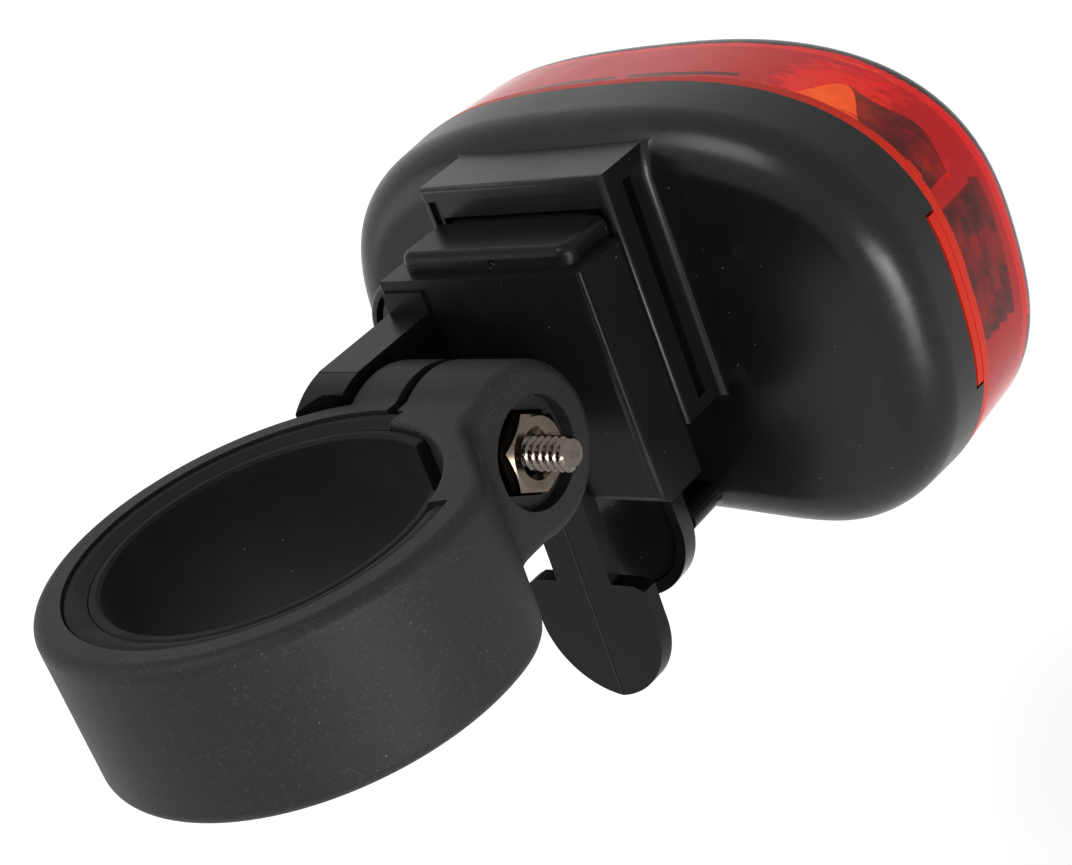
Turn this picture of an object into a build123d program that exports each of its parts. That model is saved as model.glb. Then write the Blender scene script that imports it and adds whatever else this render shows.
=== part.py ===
from build123d import *
import math
import os

# Rear bicycle light on a quick-release post clamp, in millimetres.
# The origin is the centre of the clamp's bore, level with the clamp screw.
# +Z runs up the post and the light faces -Y. A "reach" is a distance from the bore axis towards -Y.

# Post clamp: a split ring with two ears, packed out by two rubber liners
post_d = 31.8
inner_liner_wall = 1.1
outer_liner_wall = 2.2
liner_play = 0.05
liner_inset = 0.3
liner_foot = 0.1
inner_liner_step = 0.4
ring_wall = 3.0
clamp_top = 7.95
clamp_drop = 8.6
clamp_gap = 1.4
rim_round = 1.4
liner_round = 0.3
outer_bevel_width = 1.2
outer_bevel_depth = 0.5
inner_bevel = 0.3
outer_liner_start = -94.0
outer_liner_end = 194.0
inner_liner_start = -114.5
inner_liner_end = 206.0
liner_end_gap = 1.0
pad_round = 0.5
flat_angle = -133.5
flat_round = 12.0
near_ear_reach = 10.5
far_ear_reach = 7.4
ear_root_round = 4.0
knuckle_r = 8.9
knuckle_blend = 4.0

# Clamp screw, nut and washer on an axis along X
screw_reach = 24.8
screw_d = 3.5
screw_play = 0.3
thread_play = 0.05
screw_tip = 14.9
screw_tip_bevel = 0.5
nut_across_flats = 7.94
nut_thick = 2.8
nut_sink = 1.3
nut_play = 0.12
nut_bevel = 0.45
pocket_mouth_r = 5.6
pocket_mouth_depth = 1.5
washer_r = 4.6
washer_thick = 0.8
screw_head_r = 3.6
screw_head_height = 2.4
screw_head_round = 1.4
drive_slot_width = 0.9
drive_slot_length = 4.2
drive_slot_depth = 1.3

# Bracket shoe and the arm that the screw clamps
running_gap = 0.3
shoe_half_width = 13.2
shoe_front = 35.9
shoe_depth = 7.5
shoe_top = 13.0
shoe_bottom = -13.4
shoe_wall = 1.8
shoe_roof = 3.5
shoe_round = 0.8
shoe_lip_bevel = 1.2
arm_thick = 5.5
arm_end_r = 9.5
arm_pad_proud = 0.4
tilt_up = 15.0
tilt_down = 5.0
tilt_steps = 5
slab_height = 2.1
slab_front = 37.4
slab_half_width = 11.2
bullnose_r = 1.0
slab_corner_r = 1.6

# Rail of the shoe and the receiver that it slides into
neck_half_width = 8.9
flange_half_width = 10.1
flange_thick = 1.6
rail_bottom = 3.8
lip_thick = 1.9
receiver_half_width = 12.05
receiver_wall = 1.65
receiver_front = 44.5
receiver_top = 19.0
receiver_bottom = -9.1
receiver_round = 0.6
receiver_flare = 0.9
lip_half_gap = 9.2
lip_top = 12.6
stop_window_depth = 0.5
stop_window_top = 17.5
stop_window_half_width = 11.2
slit_width = 1.3
slit_start = 3.0
slit_top = 17.0
slit_bottom = -7.6

# Squeeze release: a spade-shaped tongue in front and a sprung latch plate behind
tongue_thick = 2.0
tongue_proud = 0.8
tongue_lean = 2.4
tongue_root = -5.0
neck_width = 7.3
spade_width = 15.6
spade_top = -22.3
spade_tip = -36.4
spade_shoulder_width = 1.2
spade_shoulder_drop = 0.6
spade_tip_length = 9.75
spade_tip_r = 9.2
plate_thick = 2.0
plate_half_width = 9.1
plate_root = -7.0
plate_bottom = -28.7
plate_dish = 0.5
plate_dish_rise = 2.0
plate_rim = 1.1
tooth_half_width = 5.0
tooth_top = -16.6
tooth_height = 3.2
catch_half_width = 7.0
catch_top = -20.4
catch_height = 2.9
catch_reach = 46.2
catch_round = 1.4

# Lamp housing: a bean-shaped outline, rounder on top and waisted below
head_half_height = 25.9
head_squareness = 2.68
head_centre_z = -4.2
waist_rise = 3.8
waist_reach = 26.0
outline_points = 24
head_back = 51.4
shell_depth = 9.9
shell_draft = 0.6
shell_wall = 1.8
shoulder_r = 5.5
seam_notch_half = 9.7
seam_notch_depth = 1.5
seam_notch_width = 8.0
tab_inset = 0.05
tab_bite = 0.4
seat_ledge_width = 1.4
seat_ledge_thick = 1.0
ledge_bite = 0.3

# Lens
lens_depth = 15.0
lens_wall = 1.6
lens_crown_r = 250.0
lens_edge_r = 4.0
lens_draft = 0.5
skirt_length = 2.6
skirt_wall = 1.1
skirt_play = 0.5
seal_section = 0.9
seal_play = 0.35

# Push button in a collar on the back
button_margin = 5.6
button_z = -0.8
collar_r = 7.8
collar_top_r = 7.3
collar_height = 2.4
rim_edge_round = 0.6
button_r = 6.1
button_sink = 0.4
button_flange_extra = 0.9
button_flange_thick = 0.8
button_stem_r = 1.8
button_travel = 0.8
switch_play = 0.2

# Batteries, contacts and their tray
battery_d = 10.5
battery_length = 43.5
battery_nub_r = 1.9
battery_nub_length = 1.0
battery_pitch = 11.2
battery_round = 0.4
tray_margin = 5.3
tray_button_gap = 0.6
tray_wall = 1.0
tray_corner_r = 2.0
tray_back_bevel = 3.0
spring_room = 1.6
cell_rib_play = 0.1
spring_coil_r = 2.6
spring_wire_r = 0.25
spring_turns = 3
contact_width = 7.0
contact_thick = 0.4

# Circuit board and what it carries
board_half_width = 29.0
board_half_height = 17.0
board_corner_r = 6.0
board_thick = 1.0
boss_r = 2.1
board_screw_x = 22.0
board_screw_r = 1.1
board_screw_head_r = 1.9
board_screw_head_height = 1.2
board_screw_length = 6.0
led_count = 5
led_pitch = 10.8
led_r = 2.5
led_collar_r = 2.9
led_collar_height = 1.0
led_height = 5.4
led_dome = 2.1
switch_width = 6.0
switch_height = 3.2
plunger_r = 1.7
plunger_height = 0.9
chip_width = 6.0
chip_length = 8.0
chip_height = 1.5
chip_stand = 0.1
chip_leg_rows = 6
chip_leg_pitch = 1.27
chip_leg_width = 0.4
chip_leg_length = 1.1
chip_inset = 6.0
chip_drop = 7.8

# Chromed reflector with a cup for each light-emitting diode
reflector_half_width = 28.0
reflector_half_height = 9.5
reflector_corner_r = 4.0
reflector_depth = 4.4
reflector_wall = 0.7
cup_slope = 24.0
cup_play = 0.05

# Sizes worked out from the ones above
inner_liner_r = post_d / 2
inner_liner_outer_r = inner_liner_r + inner_liner_wall
outer_liner_r = inner_liner_outer_r + liner_play
outer_liner_outer_r = outer_liner_r + outer_liner_wall
ring_bore_r = outer_liner_outer_r + liner_play
ring_r = ring_bore_r + ring_wall
clamp_height = clamp_top + clamp_drop
clamp_middle = (clamp_top - clamp_drop) / 2
stub_reach = screw_reach - knuckle_blend
pad_r = outer_liner_r + liner_play
pad_start = outer_liner_start - liner_end_gap
pad_end = outer_liner_end - 360 + liner_end_gap
flat_reach = pad_r + ring_wall
liner_bottom = liner_foot - clamp_drop
outer_liner_top = clamp_top - liner_inset
inner_liner_top = outer_liner_top - inner_liner_step
arm_inner = far_ear_reach + running_gap
arm_outer = arm_inner + arm_thick
shoe_back = shoe_front + shoe_depth
lip_back = receiver_front + lip_thick
slab_back = receiver_front - running_gap
flange_front = lip_back + running_gap
flange_back = flange_front + flange_thick
receiver_cavity_half = receiver_half_width - receiver_wall
slab_top = shoe_top + slab_height
receiver_stop = slab_top + running_gap
seam = head_back + shell_depth
lens_front = seam + lens_depth
shell_floor = head_back + shell_wall
button_flange_r = button_r + button_flange_extra
tray_length = battery_length + battery_nub_length + spring_room + 2 * contact_thick
tray_outer = tray_length + 2 * tray_wall
head_width = tray_margin + tray_outer + tray_button_gap + 2 * button_flange_r + button_margin
head_half_width = head_width / 2
button_x = head_half_width - button_margin - button_flange_r
tray_left = tray_margin + tray_wall - head_half_width
chip_x = board_half_width - chip_inset
chip_z = head_centre_z - chip_drop
skirt_inset = shell_wall + skirt_play
ledge_back = seam - skirt_length - running_gap - seal_section - seat_ledge_thick
collar_front = head_back - collar_height
battery_r = battery_d / 2
battery_reach = shell_floor + battery_r + running_gap
tray_front = battery_reach + battery_r + running_gap
board_back = tray_front
board_front = board_back + board_thick
battery_flat_end = tray_left + contact_thick + spring_room
battery_nub_end = battery_flat_end + battery_length + battery_nub_length
tray_right = tray_left + tray_length
tray_middle = (tray_left + tray_right) / 2
tray_half_length = (tray_right - tray_left) / 2
tray_half_height = battery_pitch / 2 + battery_r + running_gap
upper_row = head_centre_z + battery_pitch / 2
lower_row = head_centre_z - battery_pitch / 2
boss_rise = tray_half_height + tray_wall + running_gap + boss_r
boss_places = [(-board_screw_x, head_centre_z + boss_rise), (board_screw_x, head_centre_z - boss_rise)]

os.makedirs("parts", exist_ok=True)


def head_outline(inset):
    """Points round the housing's outline, moved inwards by the inset."""
    points = []
    for step in range(outline_points):
        turn = 2 * math.pi * step / outline_points
        across = math.cos(turn)
        up = math.sin(turn)
        x = math.copysign(abs(across) ** (2 / head_squareness), across) * (head_half_width - inset)
        z = math.copysign(abs(up) ** (2 / head_squareness), up) * (head_half_height - inset)
        if up < 0 and abs(x) < waist_reach:
            z += waist_rise * (1 - (x / waist_reach) ** 2) ** 2
        points.append((x, head_centre_z + z))
    return points


def liner(inner_r, wall, top, bevel_width, bevel_depth, start_angle, end_angle):
    """C-shaped rubber strip bent round the bore, its upper inner edge bevelled."""
    with BuildPart() as strip:
        with BuildSketch(Plane.XZ):
            with BuildLine():
                Polyline(
                    (inner_r, liner_bottom),
                    (inner_r, top - bevel_depth),
                    (inner_r + bevel_width, top),
                    (inner_r + wall, top),
                    (inner_r + wall, liner_bottom),
                    close=True,
                )
            make_face()
        revolve(axis=Axis.Z, revolution_arc=end_angle - start_angle)
        outer_rims = strip.edges().filter_by(GeomType.CIRCLE).filter_by(lambda e: e.radius > inner_r + wall - 0.01)
        fillet(outer_rims, liner_round)
    return strip.part.rotate(Axis.Z, start_angle)


# Ears: a knuckle round the screw that runs down into the ring's height
with BuildPart() as ears:
    with BuildSketch(Plane.YZ.offset(-near_ear_reach)) as ear_sketch:
        with Locations((-screw_reach / 2, clamp_middle)):
            Rectangle(screw_reach, clamp_height)
        with Locations((-screw_reach, 0)):
            Circle(knuckle_r)
        valleys = ear_sketch.vertices().filter_by(lambda v: -screw_reach + 0.5 < v.Y < -0.5)
        fillet(valleys, knuckle_blend)
    extrude(amount=near_ear_reach + far_ear_reach)
    ear_middle = (far_ear_reach - near_ear_reach) / 2
    ear_half_width = (far_ear_reach + near_ear_reach) / 2
    side_edges = ears.edges().filter_by(lambda e: abs(e.center().X - ear_middle) > ear_half_width - 0.01)
    fillet(side_edges.filter_by(lambda e: e.center().Y < -0.01), rim_round)

# Clamp ring with its ears: a flat on the near side and a pad inside
with BuildPart() as clamp_ring:
    with BuildSketch(Plane.XY.offset(-clamp_drop)) as ring_sketch:
        Circle(ring_r)
        with PolarLocations(flat_reach + ring_r / 2, 1, start_angle=flat_angle):
            Rectangle(ring_r, 2 * ring_r, mode=Mode.SUBTRACT)
        fillet(ring_sketch.vertices(), flat_round)
        with Locations((ear_middle, -stub_reach / 2)):
            Rectangle(2 * ear_half_width, stub_reach)
        roots = ring_sketch.vertices().filter_by(lambda v: abs(v.X - ear_middle) < ear_half_width + 0.01)
        fillet(roots.filter_by(lambda v: 0.01 - stub_reach < v.Y < 0), ear_root_round)
    extrude(amount=clamp_height)
    level_edges = clamp_ring.edges().filter_by(lambda e: abs(e.center().Z - clamp_middle) > clamp_height / 2 - 0.01)
    fillet(level_edges.filter_by(lambda e: e.center().Y > 0.01 - stub_reach), rim_round)
    add(ears.part)
    with BuildSketch(Plane.XY.offset(-clamp_drop)):
        with BuildLine():
            free_arc = CenterArc((0, 0), ring_bore_r, pad_start, pad_end + 360 - pad_start)
            pad_arc = CenterArc((0, 0), pad_r, pad_end, pad_start - pad_end)
            Line(free_arc @ 1, pad_arc @ 0)
            Line(pad_arc @ 1, free_arc @ 0)
        make_face()
    extrude(amount=clamp_height, mode=Mode.SUBTRACT)
    with BuildSketch(Plane.XY.offset(-knuckle_r)):
        with Locations((0, -(pad_r + screw_reach + knuckle_r) / 2)):
            Rectangle(clamp_gap, screw_reach + knuckle_r - pad_r + 2 * clamp_gap)
    extrude(amount=2 * knuckle_r, mode=Mode.SUBTRACT)
    pad_rims = clamp_ring.edges().filter_by(GeomType.CIRCLE).filter_by(lambda e: abs(e.radius - pad_r) < 0.01)
    fillet(pad_rims, pad_round)
    # Screw hole, and the nut's hexagon pocket with its round mouth
    with BuildSketch(Plane.YZ.offset(-near_ear_reach)):
        with Locations((-screw_reach, 0)):
            Circle(screw_d / 2 + screw_play)
    extrude(amount=near_ear_reach + far_ear_reach + ear_root_round, mode=Mode.SUBTRACT)
    with BuildSketch(Plane.YZ.offset(-near_ear_reach - ear_root_round)):
        with Locations((-screw_reach, 0)):
            Circle(pocket_mouth_r)
    extrude(amount=pocket_mouth_depth + ear_root_round, mode=Mode.SUBTRACT)
    with BuildSketch(Plane.YZ.offset(-near_ear_reach)):
        with Locations((-screw_reach, 0)):
            RegularPolygon(nut_across_flats / 2 + nut_play, 6, major_radius=False, rotation=30)
    extrude(amount=nut_sink + nut_thick + nut_play, mode=Mode.SUBTRACT)
clamp_ring.part.label = "clamp_ring"
export_step(clamp_ring.part, "parts/clamp_ring.step")

# Rubber liners
outer_liner = liner(
    outer_liner_r,
    outer_liner_wall,
    outer_liner_top,
    outer_bevel_width,
    outer_bevel_depth,
    outer_liner_start,
    outer_liner_end,
)
outer_liner.label = "outer_liner"
export_step(outer_liner, "parts/outer_liner.step")
inner_liner = liner(
    inner_liner_r,
    inner_liner_wall,
    inner_liner_top,
    inner_bevel,
    inner_bevel,
    inner_liner_start,
    inner_liner_end,
)
inner_liner.label = "inner_liner"
export_step(inner_liner, "parts/inner_liner.step")

# Hexagon nut with bevelled corners
with BuildPart() as clamp_nut:
    with BuildSketch(Plane.YZ.offset(-near_ear_reach + nut_sink)):
        with Locations((-screw_reach, 0)):
            RegularPolygon(nut_across_flats / 2, 6, major_radius=False, rotation=30)
    extrude(amount=nut_thick)
    nut_corner_r = nut_across_flats / math.sqrt(3)
    with BuildSketch(Plane.XY):
        with BuildLine():
            Polyline(
                (-near_ear_reach + nut_sink, -screw_reach),
                (-near_ear_reach + nut_sink, -screw_reach + nut_across_flats / 2),
                (-near_ear_reach + nut_sink + nut_bevel, -screw_reach + nut_corner_r),
                (-near_ear_reach + nut_sink + nut_thick - nut_bevel, -screw_reach + nut_corner_r),
                (-near_ear_reach + nut_sink + nut_thick, -screw_reach + nut_across_flats / 2),
                (-near_ear_reach + nut_sink + nut_thick, -screw_reach),
                close=True,
            )
        make_face()
    revolve(axis=Axis((0, -screw_reach, 0), (1, 0, 0)), mode=Mode.INTERSECT)
    with BuildSketch(Plane.YZ.offset(-near_ear_reach)):
        with Locations((-screw_reach, 0)):
            Circle(screw_d / 2 + thread_play)
    extrude(amount=near_ear_reach, mode=Mode.SUBTRACT)
    fillet_edges = clamp_nut.edges().filter_by(GeomType.CIRCLE).filter_by(lambda e: e.radius < screw_d)
    chamfer(fillet_edges, nut_bevel)
clamp_nut.part.label = "clamp_nut"
export_step(clamp_nut.part, "parts/clamp_nut.step")

# Pan-head clamp screw
head_seat = arm_outer + running_gap + washer_thick
with BuildPart() as clamp_screw:
    with BuildSketch(Plane.YZ.offset(-screw_tip)):
        with Locations((-screw_reach, 0)):
            Circle(screw_d / 2)
    extrude(amount=screw_tip + head_seat)
    chamfer(clamp_screw.edges().sort_by(Axis.X)[0], screw_tip_bevel)
    with BuildSketch(Plane.YZ.offset(head_seat)):
        with Locations((-screw_reach, 0)):
            Circle(screw_head_r)
    extrude(amount=screw_head_height)
    fillet(clamp_screw.edges().sort_by(Axis.X)[-1], screw_head_round)
    with BuildSketch(Plane.YZ.offset(head_seat + screw_head_height)):
        with Locations((-screw_reach, 0)):
            Rectangle(drive_slot_length, drive_slot_width)
            Rectangle(drive_slot_width, drive_slot_length)
    extrude(amount=-drive_slot_depth, mode=Mode.SUBTRACT)
clamp_screw.part.label = "clamp_screw"
export_step(clamp_screw.part, "parts/clamp_screw.step")

# Washer under the screw's head
with BuildPart() as screw_washer:
    with BuildSketch(Plane.YZ.offset(arm_outer + running_gap)):
        with Locations((-screw_reach, 0)):
            Circle(washer_r)
            Circle(screw_d / 2 + thread_play, mode=Mode.SUBTRACT)
    extrude(amount=washer_thick)
screw_washer.part.label = "screw_washer"
export_step(screw_washer.part, "parts/screw_washer.step")

# Clearance cut for the arm: the clamp ring as it looks from the arm over the whole tilt
screw_axis = Axis((0, -screw_reach, 0), (1, 0, 0))
with BuildPart() as ring_clearance:
    with BuildSketch(Plane.XY.offset(-clamp_drop - running_gap)):
        Circle(ring_r + running_gap)
        with Locations((0, -screw_reach / 2)):
            Rectangle(2 * (far_ear_reach + running_gap), screw_reach)
    extrude(amount=clamp_height + 2 * running_gap)
    root_edges = ring_clearance.edges().filter_by(Axis.Z).filter_by(lambda e: -screw_reach + 0.1 < e.center().Y < 0)
    fillet(root_edges, ear_root_round - running_gap)
tilt_angles = [tilt_down - (tilt_up + tilt_down) * step / (tilt_steps - 1) for step in range(tilt_steps)]

# Bracket shoe
with BuildPart() as bracket_shoe:
    with BuildSketch(Plane.XY.offset(shoe_bottom)):
        with Locations((0, -(shoe_front + shoe_back) / 2)):
            Rectangle(2 * shoe_half_width, shoe_depth)
    extrude(amount=shoe_top - shoe_bottom)
    front_right = bracket_shoe.edges().filter_by(Axis.Z).filter_by(lambda e: e.center().X < 0)
    fillet(front_right.sort_by(Axis.Y)[-1], shoe_round)
    fillet(front_right.sort_by(Axis.Y)[0], shoe_round)
    # Bevel along the lower front edge
    with BuildSketch(Plane.YZ.offset(-shoe_half_width)):
        with BuildLine():
            Polyline(
                (-shoe_front, shoe_bottom),
                (-shoe_front, shoe_bottom + shoe_lip_bevel),
                (-shoe_front - shoe_lip_bevel, shoe_bottom),
                close=True,
            )
        make_face()
    extrude(amount=2 * shoe_half_width, mode=Mode.SUBTRACT)
    # Slab with a bullnose front that closes the receiver's window
    with BuildSketch(Plane.XY.offset(shoe_top)):
        with Locations((0, -(slab_front + slab_back) / 2)):
            Rectangle(2 * slab_half_width, slab_back - slab_front)
    extrude(amount=slab_height)
    slab_corners = bracket_shoe.edges().filter_by(Axis.Z).filter_by(lambda e: e.center().Z > shoe_top)
    fillet(slab_corners.filter_by(lambda e: e.center().Y > -slab_front - 0.01), slab_corner_r)
    slab_edges = bracket_shoe.edges().filter_by(lambda e: e.center().Z > slab_top - 0.01)
    fillet(slab_edges.filter_by(lambda e: e.center().Y > -slab_front - slab_corner_r), bullnose_r)
    # Rail: neck and flange
    with BuildSketch(Plane.XY.offset(rail_bottom)):
        with Locations((0, -(shoe_back + flange_front) / 2)):
            Rectangle(2 * neck_half_width, flange_front - shoe_back)
        with Locations((0, -(flange_front + flange_back) / 2)):
            Rectangle(2 * flange_half_width, flange_thick)
    extrude(amount=slab_top - rail_bottom)
    # Arm that the screw clamps to the far ear
    with BuildSketch(Plane.YZ.offset(arm_inner)):
        with Locations((-(screw_reach + shoe_front) / 2, 0)):
            Rectangle(shoe_front - screw_reach + 2, 2 * arm_end_r)
        with Locations((-screw_reach, 0)):
            Circle(arm_end_r)
    extrude(amount=arm_thick)
    with BuildSketch(Plane.XZ.offset(shoe_front - arm_pad_proud)):
        with Locations(((arm_inner + arm_outer) / 2, (shoe_top + shoe_bottom) / 2)):
            Rectangle(arm_thick, shoe_top - shoe_bottom - 2 * shoe_lip_bevel)
    extrude(amount=2 * arm_pad_proud)
    for angle in tilt_angles:
        add(ring_clearance.part.rotate(screw_axis, angle), mode=Mode.SUBTRACT)
    with BuildSketch(Plane.YZ.offset(arm_inner)):
        with Locations((-screw_reach, 0)):
            Circle(screw_d / 2 + screw_play)
    extrude(amount=arm_thick, mode=Mode.SUBTRACT)
    # Hollow, open below, with slots for the tongue and the latch plate
    with BuildSketch(Plane.XY.offset(shoe_bottom)):
        with Locations((0, -(shoe_front + shoe_back) / 2)):
            Rectangle(2 * (shoe_half_width - shoe_wall), shoe_depth - 2 * shoe_wall)
    extrude(amount=shoe_top - shoe_bottom - shoe_roof, mode=Mode.SUBTRACT)
    tongue_slot_half = neck_width / 2 + running_gap
    with BuildSketch(Plane.XZ.offset(shoe_front - 1)):
        with BuildLine():
            Polyline(
                (-tongue_slot_half, shoe_bottom - 1),
                (-tongue_slot_half, tongue_root + running_gap),
                (tongue_slot_half, tongue_root + running_gap),
                (tongue_slot_half, shoe_bottom - 1),
                close=True,
            )
        make_face()
    extrude(amount=1 + tongue_thick + running_gap, mode=Mode.SUBTRACT)
    plate_slot_half = plate_half_width + running_gap
    with BuildSketch(Plane.XZ.offset(shoe_back - plate_thick - running_gap)):
        with BuildLine():
            Polyline(
                (-plate_slot_half, shoe_bottom - 1),
                (-plate_slot_half, plate_root + running_gap),
                (plate_slot_half, plate_root + running_gap),
                (plate_slot_half, shoe_bottom - 1),
                close=True,
            )
        make_face()
    extrude(amount=plate_thick + 2 * running_gap, mode=Mode.SUBTRACT)
bracket_shoe.part.label = "bracket_shoe"
export_step(bracket_shoe.part, "parts/bracket_shoe.step")

# Release tongue: a neck and a spade-shaped thumb pad, leaning out towards the post
tongue_front = shoe_front - tongue_proud
tongue_hinge = Axis((0, -tongue_front - tongue_thick / 2, tongue_root - tongue_thick / 2), (1, 0, 0))
spade_half = spade_width / 2
with BuildPart() as release_tongue:
    with BuildSketch(Plane.XZ.offset(tongue_front)):
        with Locations((0, (tongue_root + spade_top) / 2)):
            Rectangle(neck_width, tongue_root - spade_top)
        with BuildLine():
            side = Line((spade_half, spade_top - spade_shoulder_drop), (spade_half, spade_tip + spade_tip_length))
            RadiusArc(side @ 1, (0, spade_tip), spade_tip_r)
            shoulder = Line(side @ 0, (spade_half - spade_shoulder_width, spade_top))
            Line(shoulder @ 1, (0, spade_top))
            mirror(about=Plane.YZ)
        make_face()
    extrude(amount=tongue_thick)
    root_edges = release_tongue.edges().filter_by(Axis.X).filter_by(lambda e: e.center().Z > tongue_root - 0.01)
    fillet(root_edges, tongue_thick / 2 - 0.02)
tongue_part = release_tongue.part.rotate(tongue_hinge, tongue_lean)
tongue_part.label = "release_tongue"
export_step(tongue_part, "parts/release_tongue.step")

# Latch plate with a dished face and a tooth behind
plate_front = shoe_back - plate_thick
with BuildPart() as latch_plate:
    with BuildSketch(Plane.XZ.offset(plate_front)):
        with Locations((0, (plate_root + plate_bottom + plate_half_width) / 2)):
            Rectangle(2 * plate_half_width, plate_root - plate_bottom - plate_half_width)
        with Locations((0, plate_bottom + plate_half_width)):
            Circle(plate_half_width)
    extrude(amount=plate_thick)
    root_edges = latch_plate.edges().filter_by(Axis.X).filter_by(lambda e: e.center().Z > plate_root - 0.01)
    fillet(root_edges, plate_thick / 2 - 0.02)
    with BuildSketch(Plane.XZ.offset(plate_front)):
        dish_half = plate_half_width - plate_rim
        dish_top = shoe_bottom + plate_dish_rise
        with Locations((0, (dish_top + plate_bottom + plate_half_width) / 2)):
            Rectangle(2 * dish_half, dish_top - plate_bottom - plate_half_width)
        with Locations((0, plate_bottom + plate_half_width)):
            Circle(dish_half)
    extrude(amount=plate_dish, mode=Mode.SUBTRACT)
    with BuildSketch(Plane.YZ.offset(-tooth_half_width)):
        with BuildLine():
            Polyline(
                (-shoe_back + 0.2, tooth_top),
                (-shoe_back, tooth_top),
                (-catch_reach + running_gap, tooth_top - tooth_height * 0.6),
                (-catch_reach + running_gap, tooth_top - tooth_height),
                (-shoe_back + 0.2, tooth_top - tooth_height),
                close=True,
            )
        make_face()
    extrude(amount=2 * tooth_half_width)
latch_plate.part.label = "latch_plate"
export_step(latch_plate.part, "parts/latch_plate.step")

# Back shell of the lamp, hollow, with the receiver, catch and button collar moulded on it
with BuildPart() as shell_cavity:
    with BuildSketch(Plane.XZ.offset(shell_floor)):
        with BuildLine():
            Spline(*head_outline(shell_wall + shell_draft), periodic=True)
        make_face()
    with BuildSketch(Plane.XZ.offset(seam)):
        with BuildLine():
            Spline(*head_outline(shell_wall), periodic=True)
        make_face()
    loft(ruled=True)
    fillet(shell_cavity.faces().sort_by(Axis.Y)[-1].edges(), shoulder_r - shell_wall)
with BuildPart() as back_shell:
    with BuildSketch(Plane.XZ.offset(head_back)):
        with BuildLine():
            Spline(*head_outline(shell_draft), periodic=True)
        make_face()
    with BuildSketch(Plane.XZ.offset(seam)):
        with BuildLine():
            Spline(*head_outline(0), periodic=True)
        make_face()
    loft(ruled=True)
    fillet(back_shell.faces().sort_by(Axis.Y)[-1].edges(), shoulder_r)
    # Receiver block
    with BuildSketch(Plane.XZ.offset(receiver_front)):
        with Locations((0, (receiver_top + receiver_bottom) / 2)):
            Rectangle(2 * receiver_half_width, receiver_top - receiver_bottom)
    extrude(amount=head_back - receiver_front + shell_wall)
    corner_edges = back_shell.edges().filter_by(lambda e: abs(e.center().Y + receiver_front) < 0.01)
    fillet(corner_edges, receiver_round)
    side_limit = receiver_half_width + receiver_round
    flare_edges = back_shell.edges().filter_by(lambda e: abs(e.center().Y + head_back) < receiver_round)
    flare_edges = flare_edges.filter_by(lambda e: abs(e.center().X) < side_limit and e.center().Z < receiver_top - 1)
    fillet(flare_edges, receiver_flare)
    # Catch rib below the receiver
    with BuildSketch(Plane.XZ.offset(catch_reach)):
        with Locations((0, catch_top - catch_height / 2)):
            RectangleRounded(2 * catch_half_width, catch_height, catch_round)
    extrude(amount=head_back - catch_reach + shell_wall)
    # Collar round the push button
    with BuildSketch(Plane.XZ.offset(collar_front)):
        with Locations((button_x, button_z)):
            Circle(collar_top_r)
    with BuildSketch(Plane.XZ.offset(shell_floor)):
        with Locations((button_x, button_z)):
            Circle(collar_r)
    loft()
    collar_rim = back_shell.edges().filter_by(lambda e: abs(e.center().Y + collar_front) < 0.01)
    fillet(collar_rim, rim_edge_round)
    add(shell_cavity.part, mode=Mode.SUBTRACT)
    # Ledge inside the wall that the seal rests on
    with BuildSketch(Plane.XZ.offset(ledge_back)):
        with BuildLine():
            Spline(*head_outline(shell_wall - ledge_bite), periodic=True)
        make_face()
        with BuildLine():
            Spline(*head_outline(shell_wall + seat_ledge_width), periodic=True)
        make_face(mode=Mode.SUBTRACT)
    extrude(amount=seat_ledge_thick)
    # Bosses for the board's screws
    with BuildSketch(Plane.XZ.offset(shell_floor)):
        with Locations(*boss_places):
            Circle(boss_r)
    extrude(amount=board_back - shell_floor)
    with BuildSketch(Plane.XZ.offset(board_back)):
        with Locations(*boss_places):
            Circle(board_screw_r + thread_play)
    extrude(amount=-board_screw_length, mode=Mode.SUBTRACT)
    # Inside of the receiver
    with BuildSketch(Plane.XY.offset(receiver_bottom)):
        with BuildLine():
            Polyline(
                (-lip_half_gap, -receiver_front + 1),
                (-lip_half_gap, -lip_back),
                (-receiver_cavity_half, -lip_back),
                (-receiver_cavity_half, -flange_back - running_gap),
                (receiver_cavity_half, -flange_back - running_gap),
                (receiver_cavity_half, -lip_back),
                (lip_half_gap, -lip_back),
                (lip_half_gap, -receiver_front + 1),
                close=True,
            )
        make_face()
    extrude(amount=receiver_stop - receiver_bottom, mode=Mode.SUBTRACT)
    with BuildSketch(Plane.XZ.offset(receiver_front)):
        with Locations((0, (stop_window_top + lip_top) / 2)):
            Rectangle(2 * stop_window_half_width, stop_window_top - lip_top)
    extrude(amount=stop_window_depth, mode=Mode.SUBTRACT)
    with BuildSketch(Plane.XZ.offset(receiver_front)):
        with Locations((0, (receiver_stop + lip_top) / 2)):
            Rectangle(2 * receiver_cavity_half, receiver_stop - lip_top)
    extrude(amount=lip_thick, mode=Mode.SUBTRACT)
    with BuildSketch(Plane.YZ.offset(-receiver_half_width)):
        with Locations((-receiver_front - slit_start - slit_width / 2, (slit_top + slit_bottom) / 2)):
            Rectangle(slit_width, slit_top - slit_bottom)
    extrude(amount=receiver_wall, mode=Mode.SUBTRACT)
    with BuildSketch(Plane.YZ.offset(receiver_half_width)):
        with Locations((-receiver_front - slit_start - slit_width / 2, (slit_top + slit_bottom) / 2)):
            Rectangle(slit_width, slit_top - slit_bottom)
    extrude(amount=-receiver_wall, mode=Mode.SUBTRACT)
    # Recess and hole for the button
    with BuildSketch(Plane.XZ.offset(collar_front)):
        with Locations((button_x, button_z)):
            Circle(button_r + running_gap)
    extrude(amount=collar_height + shell_wall, mode=Mode.SUBTRACT)
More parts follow.
